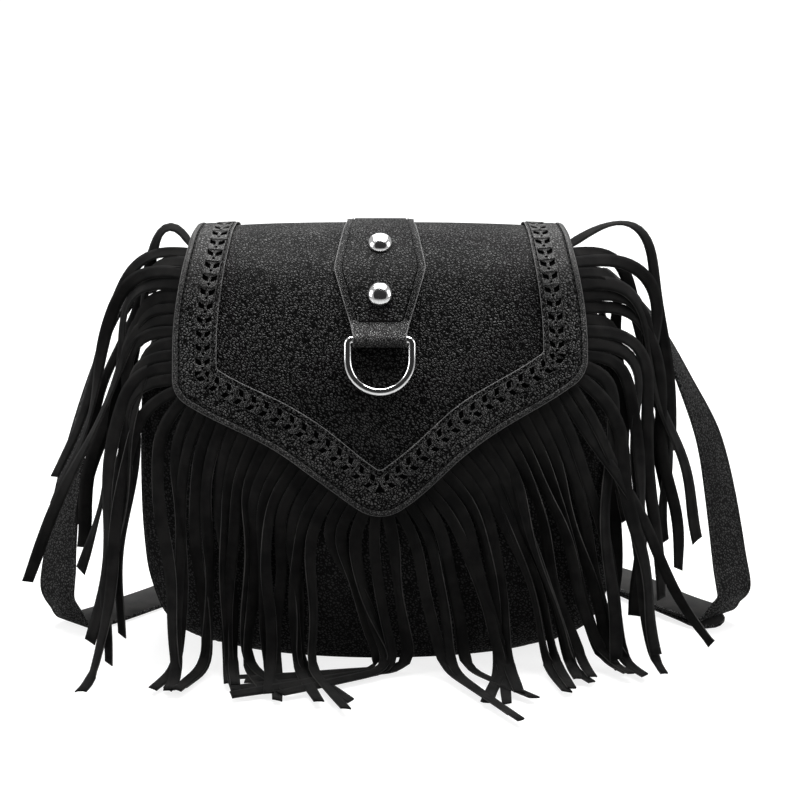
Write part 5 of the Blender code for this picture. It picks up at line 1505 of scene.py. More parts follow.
@dataclass
class Fringe:
    """The suede strips sewn under the flap's edge."""

    form: FlapForm
    finishes: Finishes
    pitch: float = 0.0070
    slit: float = 0.0006
    length: float = 0.172
    thickness: float = 0.0009
    start: float = 0.036
    step: float = 0.0025
    clearance: float = 0.0022
    sway: float = 0.028
    standoff: float = 0.0035
    uneven: float = 0.05
    header: float = 0.009
    side_share: float = 0.615
    early: tuple[float, float] = (0.46, 1.04)
    layer: float = 0.0014
    stray_share: float = 0.20
    first_rise: float = 1.7
    longer: Table = ((-1, 1.02), (-0.85, 1.12), (-0.6, 1.10), (-0.4, 1), (-0.12, 0.98), (-0.05, 1.16),
                     (0.03, 1.16), (0.1, 0.98), (0.4, 1), (0.6, 1.06), (0.85, 1.10), (1, 1.04))
    bend: Table = ((-1, 0.062), (-0.75, 0.052), (-0.5, 0.045), (-0.25, 0.055), (0, 0.035), (0.25, 0.055),
                   (0.5, 0.055), (0.75, 0.064), (1, 0.085))
    lean: Table = ((-1, -0.38), (-0.8, -0.20), (-0.6, -0.07), (-0.45, -0.03), (-0.25, 0.10), (-0.05, 0.04),
                   (0.05, 0.04), (0.25, 0.22), (0.42, 0.31), (0.55, 0.25), (0.64, 0.12), (0.8, 0.08), (1, 0.15))
    forward: Table = ((-1, 0.02), (-0.85, 0.06), (-0.7, 0.30), (-0.6, 0.34), (-0.5, 0.12), (-0.3, 0.02),
                      (0.4, 0.02), (0.55, 0.06), (0.64, 0.20), (0.74, 0.12), (0.85, 0.04), (1, 0.02))
    turn: Table = ((-1, -30), (-0.66, -24), (-0.6, -10), (-0.5, 12), (-0.3, 16), (-0.04, 16), (0.04, -16),
                   (0.3, -16), (0.5, -14), (0.6, 8), (0.66, 24), (1, 30))
    lay: Table = ((-1, 235), (-0.7, 235), (-0.58, 250), (-0.3, 248), (-0.05, 262), (0.05, 278), (0.3, 292),
                  (0.6, 294), (0.68, 300), (1, 305))
    gathers: tuple[tuple[float, float, float], ...] = (
        (-0.50, -0.1130, 250), (-0.42, -0.0985, 262), (-0.34, -0.0840, 285), (-0.27, -0.0709, 292),
        (-0.20, -0.0571, 280), (-0.14, -0.0422, 296), (-0.09, -0.0332, 285), (0.04, 0.0165, 196),
        (0.12, 0.0374, 300), (0.21, 0.0656, 256))
    gather_from: float = -0.58
    strays: tuple[tuple[float, float], ...] = (
        (-0.78, -0.46), (-0.70, -0.30), (0.565, 0.60), (0.66, 0.02), (0.86, 0.30))
    stray_reach: float = 0.008
    waves: tuple[tuple[float, float], ...] = ((5.3, 0.0), (3.4, 2.0), (8.9, 4.0))
    names: tuple[str, ...] = ("fringe_left_side", "fringe_left_front", "fringe_right_front", "fringe_right_side")

    def _wave(self, k: int, part: int) -> float:
        """Gives an uneven ripple along the fringe, from -1 to 1."""
        total = sum(math.sin(2 * math.pi * k / period + phase + 1.7 * part) for period, phase in self.waves)
        return total / len(self.waves)

    def _course(self, number: int, place_along: float, cut: float, root: np.ndarray, out: np.ndarray,
                rng: random.Random) -> np.ndarray:
        """Lets one strip hang from the edge and gives its centre line.

        Args:
            number: The strip's number along the fringe.
            place_along: Its place, -1 the left end and 1 the right end.
            cut: How unevenly it is cut, -1 to 1.
            root: Where it leaves the flap's edge.
            out: The direction in which it leaves.
            rng: Makes the strips differ.

        Returns:
            The line's points.
        """
        body = self.form.body
        beside = abs(place_along) > self.side_share
        bend = float(smooth_through(self.bend, place_along)) * (rng.uniform(*self.early) if beside else 1)
        lean = float(smooth_through(self.lean, place_along)) + self.sway * self._wave(number, 0)
        lean += rng.gauss(0, 0.045)
        if rng.random() < self.stray_share and not beside:
            lean += rng.choice((-1, 1)) * rng.uniform(0.12, 0.34)
        lying = float(smooth_through(self.lay, place_along))
        if self.gather_from < place_along < self.gathers[-1][0]:
            _, meet, lying = next(knot for knot in self.gathers if place_along < knot[0])
            meet += rng.uniform(-0.0035, 0.0035)
            lean = (meet - root[0] - 0.3 * bend * out[0]) / (0.85 * root[2])
        for stray, stray_lean in self.strays:
            lean = stray_lean if abs(place_along - stray) < self.stray_reach else lean
        lay = math.radians(lying + 4 * self._wave(number, 1) + rng.uniform(-14, 14))
        length = self.length * float(smooth_through(self.longer, place_along)) * (1 + self.uneven * cut)
        standoff = self.clearance + self.standoff * (1 + self._wave(number, 2)) + self.layer * rng.randrange(4)
        fall = unit((lean, -float(smooth_through(self.forward, place_along)), -1))
        floor_way = np.array([math.cos(lay), math.sin(lay), 0.0])
        sway_phase, sway_rate = rng.uniform(0, 2 * math.pi), rng.uniform(1.1, 2.2)
        sway = rng.uniform(0.06, 0.22)
        free = 1.0 if beside else 0.75
        point = root.copy()
        line = [point.copy()]
        gone = resting = 0.0
        while gone < length:
            over = float(ease(gone / bend))
            sideways = sway * free * over * math.sin(sway_phase + 2 * math.pi * sway_rate * gone / length)
            way = unit((1 - over) * out + over * (fall + (sideways, 0.35 * sideways, 0)))
            if point[2] < 0.018:
                resting = min(1.0, resting + self.step / 0.024)
                way = unit((1 - ease(resting)) * way + ease(resting) * floor_way)
            new = point + way * self.step
            if new[2] < body.height and abs(new[0]) < float(body.half_width(max(new[2], 0))):
                away = standoff * float(ease((gone - 0.01) / 0.04))
                new[1] = min(new[1], float(body.front_y(new[0], max(new[2], 0))) - self.clearance - away)
            new[2] = max(new[2], 0.0012 + 0.0016 * float(ease(resting)))
            gone += float(np.linalg.norm(new - point))
            point = new
            line.append(point.copy())
        return softened(np.array(line), 3)

    def _section(self, stations: int, width: float, bow: float, phase: float) -> np.ndarray:
        """Gives a strip's section at every station: flat, and bowed a little, more here than there."""
        share = np.linspace(0, 1, stations)[:, None]
        half = width / 2 * (1 - 0.10 * ease((share - 0.9) / 0.1))
        bowed = bow * np.sin(phase + 5 * share) * ease(share / 0.2)
        across = np.array([-1, -0.45, 0.45, 1, 1, 0.45, -0.45, -1])[None] * half
        up = np.array([1, 1, 1, 1, -1, -1, -1, -1])[None] * self.thickness / 2
        up = up + np.array([0, 1, 1, 0, 0, 1, 1, 0])[None] * bowed
        return np.stack([np.broadcast_to(across, up.shape), up], axis=-1)

    def build(self) -> None:
        """Builds the four lengths of fringe."""
        form, body = self.form, self.form.body
        edge, inner = form.edge(0.0, 40), form.edge(self.header, 40)
        space = form.surface(edge[:, 0], edge[:, 1])
        along = lengths_along(space)
        count = int((along[-1] - 2 * self.start) / self.pitch)
        first = (along[-1] - count * self.pitch) / 2
        cuts, rng = random.Random(7), random.Random(21)
        groups: dict[str, list[bpy.types.Object]] = {name: [] for name in self.names}
        for k in range(count):
            at = first + (k + 0.5) * self.pitch
            x, v = (float(np.interp(at, along, edge[:, c])) for c in (0, 1))
            xb, vb = (float(np.interp(at, along, inner[:, c])) for c in (0, 1))
            root, back = form.surface(x, v), form.surface(xb, vb)
            ends = [form.surface(*(np.interp(at + d, along, edge[:, c]) for c in (0, 1))) for d in (-0.003, 0.003)]
            edge_way = unit(ends[1] - ends[0])
            out = unit(np.cross(edge_way, form.normal(x, v)))
            share = 2 * (k + 0.5) / count - 1
            if k in (0, count - 1):
                out = unit(out + (0, 0, self.first_rise if k == 0 else 0.35 * self.first_rise))
            line = self._course(k, share, cuts.uniform(-1, 1), root, out, rng)
            length = lengths_along(line)[-1]
            stations = max(20, round(length / 0.0042))
            centre = read_line(line, np.linspace(0, length, stations))
            way = unit(np.gradient(centre, axis=0))
            hang_turn = math.radians(float(smooth_through(self.turn, share)))
            hanging = np.array([math.cos(hang_turn), math.sin(hang_turn), 0.0])
            gone = np.linspace(0, length, stations)[:, None]
            over = ease(gone / 0.060)
            across = (1 - over) * edge_way + over * hanging
            flat = ease((0.020 - centre[:, 2:]) / 0.016) * (np.abs(way[:, 2:]) < 0.8)
            level = unit(np.stack([-way[:, 1], way[:, 0], np.zeros(stations)], axis=1))
            level = np.where(np.sum(level * hanging, axis=1, keepdims=True) > 0, level, -level)
            tilt = math.radians(rng.uniform(4, 14))
            lying = level * math.cos(tilt) - np.array([0, 0, math.sin(tilt)])
            across = unit((1 - flat) * across + flat * lying)
            across = unit(across - np.sum(across * way, axis=1, keepdims=True) * way)
            twist = math.radians(rng.uniform(14, 46)) * rng.choice((-1, 1))
            rate, phase = rng.uniform(0.5, 1.3), rng.uniform(0, 2 * math.pi)
            angle = twist * ease(gone / 0.05) * np.sin(2 * math.pi * rate * gone / length + phase) * (1 - 0.85 * flat)
            across = across * np.cos(angle) + np.cross(way, across) * np.sin(angle)
            width = self.pitch * rng.uniform(0.88, 1.06) * (1.12 if abs(share) > self.side_share else 1.0)
            half = width / 2
            for side in (-1, 1):
                tip = centre + side * half * across
                inside = (np.abs(tip[:, 0]) < body.half_width(np.maximum(tip[:, 2], 0))) & (tip[:, 2] < body.height)
                limit = body.front_y(tip[:, 0], np.maximum(tip[:, 2], 0)) - 0.0008
                limit = np.where(np.isfinite(limit), limit, 1.0)
                push = np.where(inside & (gone[:, 0] > 0.01), np.minimum(0, limit - tip[:, 1]), 0)
                centre[:, 1] += push
            centre = softened(centre, 2)
            low = centre[:, 2] - half * np.abs(across[:, 2]) - 0.0006
            centre[:, 2] += np.maximum(0, -low)
            centre = np.concatenate([[back], centre])
            across = np.concatenate([across[:1], across])
            section = self._section(len(centre), width, rng.uniform(-0.0007, 0.0007), phase)
            slant = rng.uniform(-0.0016, 0.0016)
            group = 0 if share < -self.side_share else 1 if share < 0 else 2 if share < self.side_share else 3
            strip = sweep(f"strip_{k}", centre, across, section,
                          [self.finishes.suede, self.finishes.suede_edge], crisp=(3, 7),
                          column_finish=(0, 0, 0, 1, 0, 0, 0, 1))
            self._cut_end(strip, len(centre), section.shape[1], slant)
            groups[self.names[group]].append(strip)
        for name, strips in groups.items():
            made = self._joined(name + "_suede", strips)
            place(made, Body.FLAP, Slot.SUEDE, name)

    @staticmethod
    def _cut_end(strip: bpy.types.Object, rows: int, columns: int, slant: float) -> None:
        """Cuts a strip's end on the slant."""
        mesh = strip.data
        last = np.array([mesh.vertices[(rows - 1) * columns + c].co for c in range(columns)])
        before = np.array([mesh.vertices[(rows - 2) * columns + c].co for c in range(columns)])
        way = unit((last - before).mean(axis=0))
        shares = (-1, -0.45, 0.45, 1, 1, 0.45, -0.45, -1)
        for c in range(columns):
            mesh.vertices[(rows - 1) * columns + c].co = last[c] + way * slant * shares[c]

    @staticmethod
    def _joined(name: str, parts: Sequence[bpy.types.Object]) -> bpy.types.Object:
        """Joins several meshes into one piece of that name."""
        work = bmesh.new()
        for part in parts:
            work.from_mesh(part.data)
        mesh = bpy.data.meshes.new(name)
        work.to_mesh(mesh)
        work.free()
        finishes = list(parts[0].data.materials)
        for part in parts:
            bpy.data.objects.remove(part)
        return link(name, mesh, finishes)


# The strap, its rings and its buckle


@dataclass
class Strap:
    """The shoulder strap in two parts, with the side tabs and rings that it hangs from and its buckle."""

    body: BodyForm
    finishes: Finishes
    repeater: Repeater
    side_middle: float = 0.0155
    tab_width: float = 0.0255
    tab_length: float = 0.034
    tab_thickness: float = 0.0014
    ring_wire: float = 0.0034
    ring_inside: float = 0.0315
    ring_reach: float = 0.014
    ring_fall: float = math.radians(20)
    ring_height: float = 0.2285
    width: float = 0.030
    thickness: float = 0.0026
    fold: float = 0.026
    tip_taper: float = 0.016
    tail: float = 0.112
    buckle_wire: float = 0.003
    buckle_length: float = 0.022
    buckle_inside: float = 0.032
    buckle_at: tuple[float, float] = (0.098, 0.086)
    prong_wire: float = 0.0022
    keeper_width: float = 0.010
    keeper_thickness: float = 0.0012
    keeper_place: float = 0.033
    gap: float = 0.0005
    layer_gap: float = 0.00055
    curl: float = 0.009
    hang_right: tuple[tuple[float, float, float, float], ...] = (
        (0.010, 0.0005, 0.965, 0), (0.029, 0.002, 0.86, 6), (0.0475, 0.003, 0.70, 18), (0.0645, 0.002, 0.52, 35),
        (0.0725, -0.003, 0.35, 45), (0.0775, -0.011, 0.20, 50), (0.080, -0.020, 0.11, 51))
    hang_left: tuple[tuple[float, float, float, float], ...] = (
        (0.010, 0.0005, 0.965, 0), (0.025, 0.002, 0.86, 4), (0.038, 0.003, 0.70, 14), (0.049, 0.002, 0.52, 26),
        (0.057, -0.003, 0.35, 38), (0.061, -0.011, 0.20, 48), (0.062, -0.020, 0.11, 51))
    floor_right: tuple[tuple[float, float, float], ...] = (
        (0.209, 0.004, 51), (0.192, 0.021, 50), (0.174, 0.0435, 46), (0.157, 0.0675, 34), (0.138, 0.0812, 7))
    floor_left: tuple[tuple[float, float, float], ...] = (
        (-0.191, 0.003, 51), (-0.173, 0.019, 51), (-0.150, 0.043, 48), (-0.120, 0.072, 32), (-0.070, 0.090, 8),
        (0.000, 0.094, 0), (0.045, 0.091, -6))
    stitch_lines: list[PathPoints] = field(default_factory=list)

    def _side_line(self, z: float, lift: float) -> np.ndarray:
        """Gives a point at that height above the gusset's outer face, as (x, z)."""
        def face(height: float) -> np.ndarray:
            swell = self.body.gusset_bulge * float(ease((self.body.height - height) / 0.06))
            return np.array([float(self.body.half_width(height)) + swell, height])

        along = unit(face(z + 0.001) - face(z - 0.001))
        return face(z) + lift * np.array([along[1], -along[0]])

    def build_side(self, side: int, name: str) -> np.ndarray:
        """Builds the tab and the ring of one side and gives the bar that the strap hangs on."""
        folded = self.ring_wire / 2 + 0.0005 + self.tab_thickness
        bar = self._side_line(self.ring_height - self.ring_wire, self.gap + folded)
        radius = folded - self.tab_thickness / 2
        inner = self.gap + self.tab_thickness / 2
        outer = inner + self.tab_thickness + self.layer_gap
        low = self.ring_height - self.tab_length
        path = [self._side_line(low + t * self.tab_length, inner) for t in np.linspace(0, 0.75, 10)]
        along = unit(self._side_line(bar[1] + 0.001, 0) - self._side_line(bar[1] - 0.001, 0))
        away = np.array([along[1], -along[0]])
        for angle in np.linspace(math.pi, 0, 22):
            path.append(bar + radius * (math.sin(angle) * along + math.cos(angle) * away))
        path += [self._side_line(low + t * self.tab_length, outer) for t in np.linspace(0.6, 0.1, 8)]
        path = np.array(path)
        centres = np.stack([side * path[:, 0], np.full(len(path), self.side_middle), path[:, 1]], axis=1)
        wides = np.tile([0.0, float(side), 0.0], (len(path), 1))
        section = strap_section(self.tab_width, self.tab_thickness, 0.00025, 0.0025)
        # The edges and the back take the turned-edge leather, whose lighter colour is partly painted highlight.
        finishes = [self.finishes.leather, self.finishes.smooth, self.finishes.smooth]
        made = sweep("side_tab_" + name, centres, wides, section, finishes, face=-1.0, column_finish=STRAP_FACES)
        place(made, Body.BAG, Slot.LEATHER, "ring_tab_" + name)
        front = path[-8:]
        line = np.stack([side * front[:, 0], np.full(8, self.side_middle), front[:, 1]], axis=1)
        up = np.tile([side * 1.0, 0.0, 0.0], (8, 1))
        for offset in (-1, 1):
            shift = np.array([0, offset * (self.tab_width / 2 - 0.0025), 0])
            sewn = line + shift + up * self.tab_thickness / 2
            self.stitch_lines.append(PathPoints.along(sewn, up, STITCH_PITCH, 0.002))
        reach, half = self.ring_reach + self.ring_wire, (self.ring_inside + self.ring_wire) / 2
        out = np.array([math.cos(self.ring_fall), -math.sin(self.ring_fall)])
        corner = self.ring_wire * 0.75
        flat = self._frame_outline(half, reach, corner, 9)
        points = np.array([(side * (bar[0] + q * out[0]), self.side_middle + p, bar[1] + q * out[1]) for p, q in flat])
        normal = np.tile(np.cross((side * out[0], 0, out[1]), (0, 1, 0)), (len(points), 1))
        ring = sweep("side_ring_" + name, points, normal, round_section(self.ring_wire, 14), [self.finishes.steel],
                     closed=True)
        place(ring, Body.BAG, Slot.STEEL, "strap_ring_" + name)
        return bar + reach * out

    @staticmethod
    def _frame_outline(half: float, reach: float, corner: float, steps: int) -> list[tuple[float, float]]:
        """Gives the outline of a rectangular wire frame with round corners, as (across, along)."""
        flat = []
        for across, far, begin in ((1, 0, -90), (1, 1, 0), (-1, 1, 90), (-1, 0, 180)):
            for turn in np.linspace(0, 90, steps):
                angle = math.radians(begin + turn)
                flat.append((across * (half - corner) + corner * math.cos(angle),
                             corner + far * (reach - 2 * corner) + corner * math.sin(angle)))
        return flat

    def _smooth_course(self, knots: list[tuple[np.ndarray, np.ndarray]]) -> tuple[np.ndarray, np.ndarray, np.ndarray]:
        """Draws a smooth course through knots of (place, width's direction).

        Args:
            knots: Each a place and the direction of the strap's width there.

        Returns:
            Evenly spaced places, widths and directions ahead.
        """
        places = np.array([p for p, _ in knots], float)
        widths = np.array([w for _, w in knots], float)
        along = lengths_along(places)
        fine = np.arange(0, along[-1] + 0.001, 0.002)
        course = np.stack([smooth_through(np.column_stack([along, places[:, c]]), fine) for c in range(3)], axis=1)
        wide = np.stack([smooth_through(np.column_stack([along, widths[:, c]]), fine) for c in range(3)], axis=1)
        course = softened(course, 4)
        way = unit(np.gradient(course, axis=0))
        wide = unit(wide - np.sum(wide * way, axis=1, keepdims=True) * way)
        return course, wide, way

    def _hang_knots(self, side: int, bar: np.ndarray, table: Sequence[tuple[float, float, float, float]],
                    radius: float) -> list[tuple[np.ndarray, np.ndarray]]:
        """Gives the hanging part's knots, from the ring down to just above the floor."""
        knots = [(np.array([side * (bar[0] + 0.3 * radius), self.side_middle, bar[1] + radius]), np.array([0, 1, 0]))]
        for away, back, share, turn in table:
            angle = math.radians(turn)
            spot = np.array([side * (bar[0] + radius + away), self.side_middle + back, share * bar[1]])
            knots.append((spot, np.array([side * math.sin(angle), math.cos(angle), 0])))
        return knots

    @staticmethod
    def _floor_knots(side: int, table: Sequence[tuple[float, float, float]],
                     level: float) -> list[tuple[np.ndarray, np.ndarray]]:
        """Gives the knots of a part that lies on the floor."""
        knots = []
        for x, y, turn in table:
            angle = math.radians(turn)
            knots.append((np.array([x, y, level]), np.array([side * math.sin(angle), math.cos(angle), 0])))
        return knots

    def _curl_knots(self, side: int, table: Sequence[tuple[float, float, float]],
                    level: float) -> list[tuple[np.ndarray, np.ndarray]]:
        """Gives the curl between the hanging part and the floor."""
        x, y, turn = table[0]
        angle = math.radians(turn)
        width = np.array([side * math.sin(angle), math.cos(angle), 0])
        back = np.array([-side * math.cos(angle), math.sin(angle), 0])
        knots = []
        for bend in (0, 40, 75):
            turned_by = math.radians(bend)
            spot = np.array([x, y, level + self.curl]) - back * self.curl * 0.9
            spot = spot - self.curl * np.array([0, 0, 1]) * math.sin(turned_by)
            knots.append((spot + back * self.curl * (1 - math.cos(turned_by)), width))
        return knots

    def _round_bar(self, course: np.ndarray, wide: np.ndarray, way: np.ndarray, side: int, centre: np.ndarray,
                   radius: float) -> tuple[list[np.ndarray], list[np.ndarray]]:
        """Folds the strap's end: back along itself, round a bar and on along its course."""
        face = side * np.cross(way, wide)
        step = np.linalg.norm(course[1] - course[0])
        path, widths = [], []
        for back in np.linspace(self.fold, 0.40 * self.fold, 9):
            k = round(back / step)
            path.append(course[k] - face[k] * (self.thickness + self.layer_gap))
            widths.append(wide[k])
        ahead, outer = unit(way[0] * (1, 0, 1)), unit(face[0] * (1, 0, 1))
        for angle in np.linspace(-80, -280, 22):
            turned_by = math.radians(angle)
            path.append(centre + radius * (math.cos(turned_by) * ahead + math.sin(turned_by) * outer))
            widths.append(wide[0])
        return path, widths

    def _leather(self, name: str, node: str, path: np.ndarray, widths: np.ndarray, face: float, tip: float) -> None:
        """Builds one part of the strap with its grooves, its painted edges and its lighter back."""
        length = lengths_along(path)
        at = np.arange(0, length[-1], 0.0022)
        line = read_line(path, at)
        wide = unit(np.stack([np.interp(at, length, widths[:, c]) for c in range(3)], axis=1))
        line = softened(line, 2)
        section = strap_section(self.width, self.thickness, 0.00035)
        sections = np.repeat(section[None], len(line), axis=0)
        if tip:
            left = (length[-1] - at) / tip
            share = np.sqrt(np.clip(1 - (1 - np.minimum(left, 1)) ** 2.6, 0.03, 1))
            sections[..., 0] *= share[:, None]
        # The edges take the turned-edge leather: edge paint, lighter in part as painted highlight.
        finishes = [self.finishes.body, self.finishes.strap_back, self.finishes.smooth]
        made = sweep(name, line, wide, sections, finishes, face=face, column_finish=STRAP_FACES)
        place(made, Body.BAG, Slot.LEATHER, node)
        way = unit(np.gradient(line, axis=0))
        up = face * np.cross(way, wide)
        for offset in (-1, 1):
            sewn = line + offset * (self.width / 2 - 0.003) * wide + up * (self.thickness / 2 - 0.0002)
            end = -8 if tip else None
            self.stitch_lines.append(PathPoints.along(sewn[2:end], up[2:end], 0.0038, 0.001))

    def build(self) -> None:
        """Builds the side tabs, the rings, both parts of the strap, the buckle and the keeper."""
        right, left = self.build_side(1, "right"), self.build_side(-1, "left")
        fold = self.ring_wire / 2 + 0.0005 + self.thickness / 2
        keeper_low = 0.0004
        below = keeper_low + self.keeper_thickness + self.gap + self.thickness / 2
        above = below + self.thickness + self.gap
        heel_radius = self.buckle_wire / 2 + 0.0005 + self.thickness / 2
        heel = np.array([*self.buckle_at, above + heel_radius])
        ahead = unit((-1, 0.12, 0))
        wide_way = np.array([ahead[1], -ahead[0], 0.0])
        up = np.array([0.0, 0.0, 1.0])
        toe_height = 2 * self.gap + self.prong_wire + self.buckle_wire / 2
        toe = heel + ahead * self.buckle_length + up * (toe_height - heel[2])

        knots = self._hang_knots(1, right, self.hang_right, fold) + self._curl_knots(1, self.floor_right, above)
        knots += self._floor_knots(1, self.floor_right, above)
        knots += [(heel - ahead * 0.006 - up * heel_radius, wide_way)]
        course, wide, way = self._smooth_course(knots)
        path, widths = self._round_bar(course, wide, way, 1, np.array([right[0], self.side_middle, right[1]]), fold)
        path, widths = path + list(course[4:]), widths + list(wide[4:])
        for angle in np.linspace(-90, 110, 20):
            turned_by = math.radians(angle)
            path.append(heel + heel_radius * (math.cos(turned_by) * ahead + math.sin(turned_by) * up))
            widths.append(wide_way)
        for back in (0.010, 0.018, self.fold):
            path.append(heel - ahead * back + up * (self.thickness + self.gap - heel_radius))
            widths.append(wide_way)
        self._leather("strap_short_leather", "strap_short", np.array(path), np.array(widths), 1.0, 0.0)

        tail = [(heel - ahead * share * self.tail + up * (below - heel[2]), wide_way) for share in (-0.04, 0.15, 0.36)]
        follow = [(np.array([x + 0.004, y - 0.003, below]),
                   np.array([math.sin(math.radians(t)), math.cos(math.radians(t)), 0]))
                  for x, y, t in self.floor_right[2:0:-1]]
        last = follow[-1][0]
        follow.append((np.array([last[0] + 0.016, last[1] - 0.019, self.gap + self.thickness / 2]), follow[-1][1]))
        over = toe + up * (self.buckle_wire / 2 + self.gap + self.thickness / 2)
        level = self.gap + self.thickness / 2
        knots = self._hang_knots(-1, left, self.hang_left, fold) + self._curl_knots(-1, self.floor_left, level)
        knots += self._floor_knots(-1, self.floor_left, level)
        knots += [(over + ahead * 0.004, wide_way), (over - ahead * 0.003, wide_way), *tail, *follow]
        course, wide, way = self._smooth_course(knots)
        path, widths = self._round_bar(course, wide, way, -1, np.array([-left[0], self.side_middle, left[1]]), fold)
        path, widths = path + list(course[4:]), widths + list(wide[4:])
        self._leather("strap_long_leather", "strap_long", np.array(path), np.array(widths), -1.0, self.tip_taper)
        self._build_buckle(heel, toe, ahead, wide_way, up)
        self._build_keeper(heel, ahead, wide_way, up, keeper_low, above)
        made = self.repeater.repeat("strap_stitches", stitch_piece(), PathPoints.joined(self.stitch_lines),
                                    self.finishes.thread, 0.06, 5)
        place(made, Body.BAG, Slot.LEATHER)

    def _build_buckle(self, heel: np.ndarray, toe: np.ndarray, ahead: np.ndarray, wide_way: np.ndarray,
                      up: np.ndarray) -> None:
        """Builds the buckle's frame and its prong."""
        wire, prong_wire = self.buckle_wire, self.prong_wire
        half = (self.buckle_inside + wire) / 2
        flat = self._frame_outline(half, self.buckle_length, wire, 7)
        points = np.array([heel + (toe - heel) * q / self.buckle_length + wide_way * p for p, q in flat])
        normal = np.tile(np.cross(toe - heel, wide_way), (len(points), 1))
        made = sweep("buckle_steel", points, normal, round_section(wire, 14), [self.finishes.steel], closed=True)
        place(made, Body.BAG, Slot.STEEL, "buckle_frame")
        eye = (wire + prong_wire) / 2 + self.gap
        prong = [heel + eye * (-math.cos(a) * ahead + math.sin(a) * up) for a in np.radians(np.linspace(100, -75, 18))]
        low = toe - up * (wire / 2 + self.gap + prong_wire / 2)
        prong += [low - ahead * 0.006, low + ahead * 0.0035]
        prong = np.array(prong)
        made = sweep("prong_steel", prong, np.tile(wide_way, (len(prong), 1)), round_section(prong_wire, 12),
                     [self.finishes.steel])
        place(made, Body.BAG, Slot.STEEL, "buckle_prong")

    def _build_keeper(self, heel: np.ndarray, ahead: np.ndarray, wide_way: np.ndarray, up: np.ndarray,
                      keeper_low: float, above: float) -> None:
        """Builds the leather keeper round both parts of the strap."""
        top = above + self.thickness / 2 + self.gap + self.keeper_thickness / 2
        base = keeper_low + self.keeper_thickness / 2
        half = self.width / 2 + 2 * self.gap + self.keeper_thickness / 2
        middle = heel - ahead * self.keeper_place
        flat = self._frame_outline(half, top - base, 0.0018, 6)
        points = np.array([(*(middle + wide_way * p)[:2], base + q) for p, q in flat])
        section = strap_section(self.keeper_width, self.keeper_thickness, 0.0, 0.002)
        wides = np.tile(ahead, (len(points), 1))
        # The edges and the back take the turned-edge leather, whose lighter colour is partly painted highlight.
        finishes = [self.finishes.leather, self.finishes.smooth, self.finishes.smooth]
        made = sweep("keeper_leather", points, wides, section, finishes, face=-1.0, closed=True,
                     column_finish=STRAP_FACES)
        place(made, Body.BAG, Slot.LEATHER, "strap_keeper")


# The studio


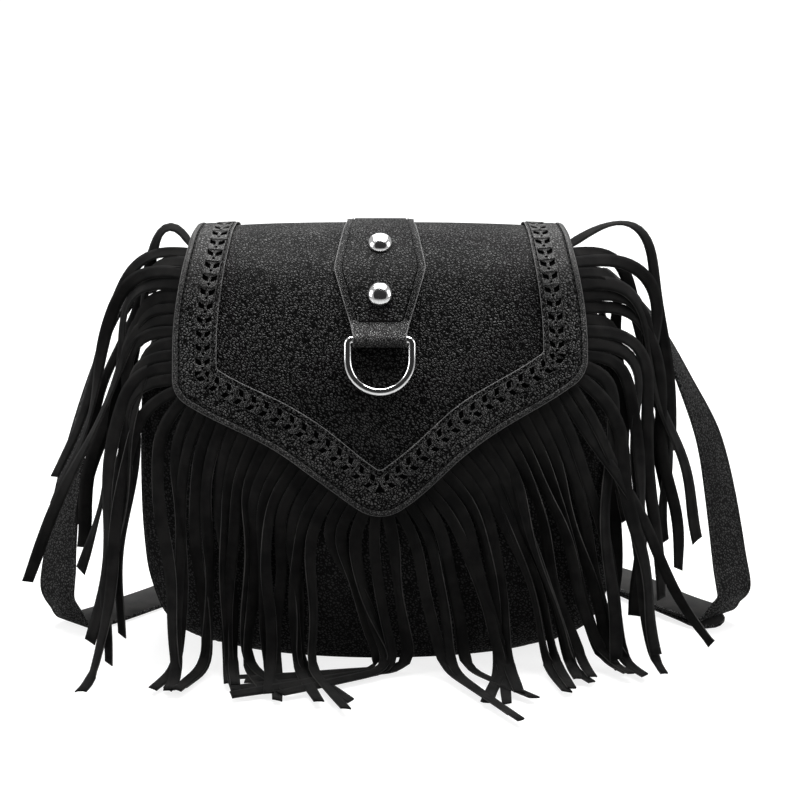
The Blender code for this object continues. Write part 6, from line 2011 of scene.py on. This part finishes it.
@dataclass
class Studio:
    """The floor, the lamps, the world and the camera."""

    elevation: float = math.radians(16.5)
    distance: float = 1.3
    half_view: float = 0.235
    aim: tuple[float, float, float] = (0.0117, -0.05, 0.164)
    near_glow: float = 0.80
    ambient: float = 0.35

    def build_floor(self) -> None:
        """Builds the pale floor. To the camera it is nearly white, and it keeps the soft shadow."""
        points = np.array([[(-8.0, -8.0, -0.0004), (8.0, -8.0, -0.0004)], [(-8.0, 8.0, -0.0004), (8.0, 8.0, -0.0004)]])
        made = grid("floor", points, [])
        finish = bpy.data.materials.new("pale_floor")
        finish.use_nodes = True
        graph = Graph(finish.node_tree)
        matt = graph.add("ShaderNodeBsdfDiffuse", None, Color=(0.30, 0.30, 0.30, 1))
        path = graph.add("ShaderNodeLightPath")
        seen = graph.math("MAXIMUM", path.outputs["Is Camera Ray"], path.outputs["Is Transmission Ray"])
        place_on = graph.add("ShaderNodeTexCoord").outputs["Object"]
        away = graph.add("ShaderNodeVectorMath", {"operation": "LENGTH"})
        graph.set(away, 0, place_on)
        strength = graph.between(away.outputs["Value"], 0.2, 1.0, self.near_glow, 1.0)
        strength = graph.math("MULTIPLY", strength, seen)
        strength = graph.math("ADD", strength, graph.math("MULTIPLY", path.outputs["Is Glossy Ray"], 0.25))
        glow = graph.add("ShaderNodeEmission", None, Color=(1, 1, 1, 1), Strength=strength)
        mixed = graph.add("ShaderNodeAddShader")
        graph.set(mixed, 0, matt.outputs[0])
        graph.set(mixed, 1, glow.outputs[0])
        out = graph.add("ShaderNodeOutputMaterial")
        graph.set(out, "Surface", mixed.outputs[0])
        made.data.materials.append(finish)

    def build_world(self) -> None:
        """Builds a soft world: white to the camera, and with a dark side in front for the steel to show."""
        world = bpy.data.worlds.new("studio_world")
        bpy.context.scene.world = world
        world.use_nodes = True
        graph = Graph(world.node_tree)
        direction = graph.add("ShaderNodeTexCoord").outputs["Generated"]
        toward = graph.add("ShaderNodeVectorMath", {"operation": "DOT_PRODUCT"})
        graph.set(toward, 0, direction)
        graph.set(toward, 1, tuple(unit((0.05, -1.0, 0.50))))
        dark_side = graph.between(toward.outputs["Value"], 0.66, 0.71, 0.0, 1.0)
        path = graph.add("ShaderNodeLightPath")
        glossy = graph.between(dark_side, 0.0, 1.0, 0.50, 0.03)
        shown = graph.math("MAXIMUM", path.outputs["Is Camera Ray"], path.outputs["Is Transmission Ray"])
        soft = graph.math("MULTIPLY", path.outputs["Is Glossy Ray"], graph.math("SUBTRACT", glossy, self.ambient))
        strength = graph.math("ADD", self.ambient, soft)
        strength = graph.math("MAXIMUM", strength, shown)
        back = graph.add("ShaderNodeBackground", None, Color=(1, 1, 1, 1))
        graph.set(back, "Strength", strength)
        out = graph.add("ShaderNodeOutputWorld")
        graph.set(out, "Surface", back.outputs[0])

    def build_lamps(self) -> None:
        """Hangs four soft boxes: overhead, behind and above, and one to each side in front."""
        for name, spot, size, power in (("box_above", (0.03, 0.12, 1.25), (1.2, 0.8), 38.0),
                                        ("box_behind", (0.0, 0.85, 0.95), (1.0, 0.5), 5.0),
                                        ("box_left", (-1.3, -0.35, 0.75), (0.6, 0.9), 9.0),
                                        ("box_right", (1.3, -0.25, 0.75), (0.6, 0.9), 7.0)):
            data = bpy.data.lights.new(name, "AREA")
            data.shape = "RECTANGLE"
            data.size, data.size_y = size
            data.energy = power
            lamp = bpy.data.objects.new(name, data)
            bpy.context.scene.collection.objects.link(lamp)
            lamp.location = spot
            lamp.rotation_euler = (Vector((0.0, -0.04, 0.13)) - Vector(spot)).to_track_quat("-Z", "Y").to_euler()

    def build_camera(self) -> None:
        """Sets the camera at the photograph's angle."""
        data = bpy.data.cameras.new("camera")
        data.sensor_width = 36.0
        data.lens = 18.0 * self.distance / self.half_view
        camera = bpy.data.objects.new("camera", data)
        bpy.context.scene.collection.objects.link(camera)
        aim = Vector(self.aim)
        back = Vector((0.0, -math.cos(self.elevation), math.sin(self.elevation)))
        camera.location = aim + back * self.distance
        camera.rotation_euler = (-back).to_track_quat("-Z", "Y").to_euler()
        bpy.context.scene.camera = camera

    def build(self) -> None:
        """Builds the whole studio."""
        self.build_camera()
        self.build_floor()
        self.build_world()
        self.build_lamps()
        bpy.context.scene.view_settings.view_transform = "Standard"


def clear_startup() -> None:
    """Removes what a new Blender file holds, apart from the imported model."""
    for name in ("Cube", "Light", "Camera"):
        old = bpy.data.objects.get(name)
        if old and "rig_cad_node" not in old:
            bpy.data.objects.remove(old)


def main() -> None:
    """Builds the bag piece by piece, then the studio."""
    logging.basicConfig(level=logging.INFO, format="%(message)s")
    clear_startup()
    Studio().build()
    finishes, repeater = Finishes(), Repeater()
    form = BodyForm()
    body = BodyLeather(form, finishes, repeater)
    seams = body.build_panels()
    body.build_gusset()
    body.build_lining()
    sewn = repeater.repeat("body_stitches", stitch_piece(), PathPoints.joined(seams), finishes.thread, 0.06, 2)
    place(sewn, Body.BAG, Slot.LEATHER)
    flap_form = FlapForm(form)
    flap = FlapLeather(flap_form, finishes, repeater)
    flap.build_cover()
    flap.build_border()
    flap.build_lacing()
    flap.build_tab()
    flap.build_stitches()
    flap.build_fold()
    fittings = Fittings(flap, finishes)
    fittings.build_rivets()
    fittings.build_d_ring()
    fittings.build_snap()
    Fringe(flap_form, finishes).build()
    Strap(form, finishes, repeater).build()


if __name__ == "__main__":
    main()
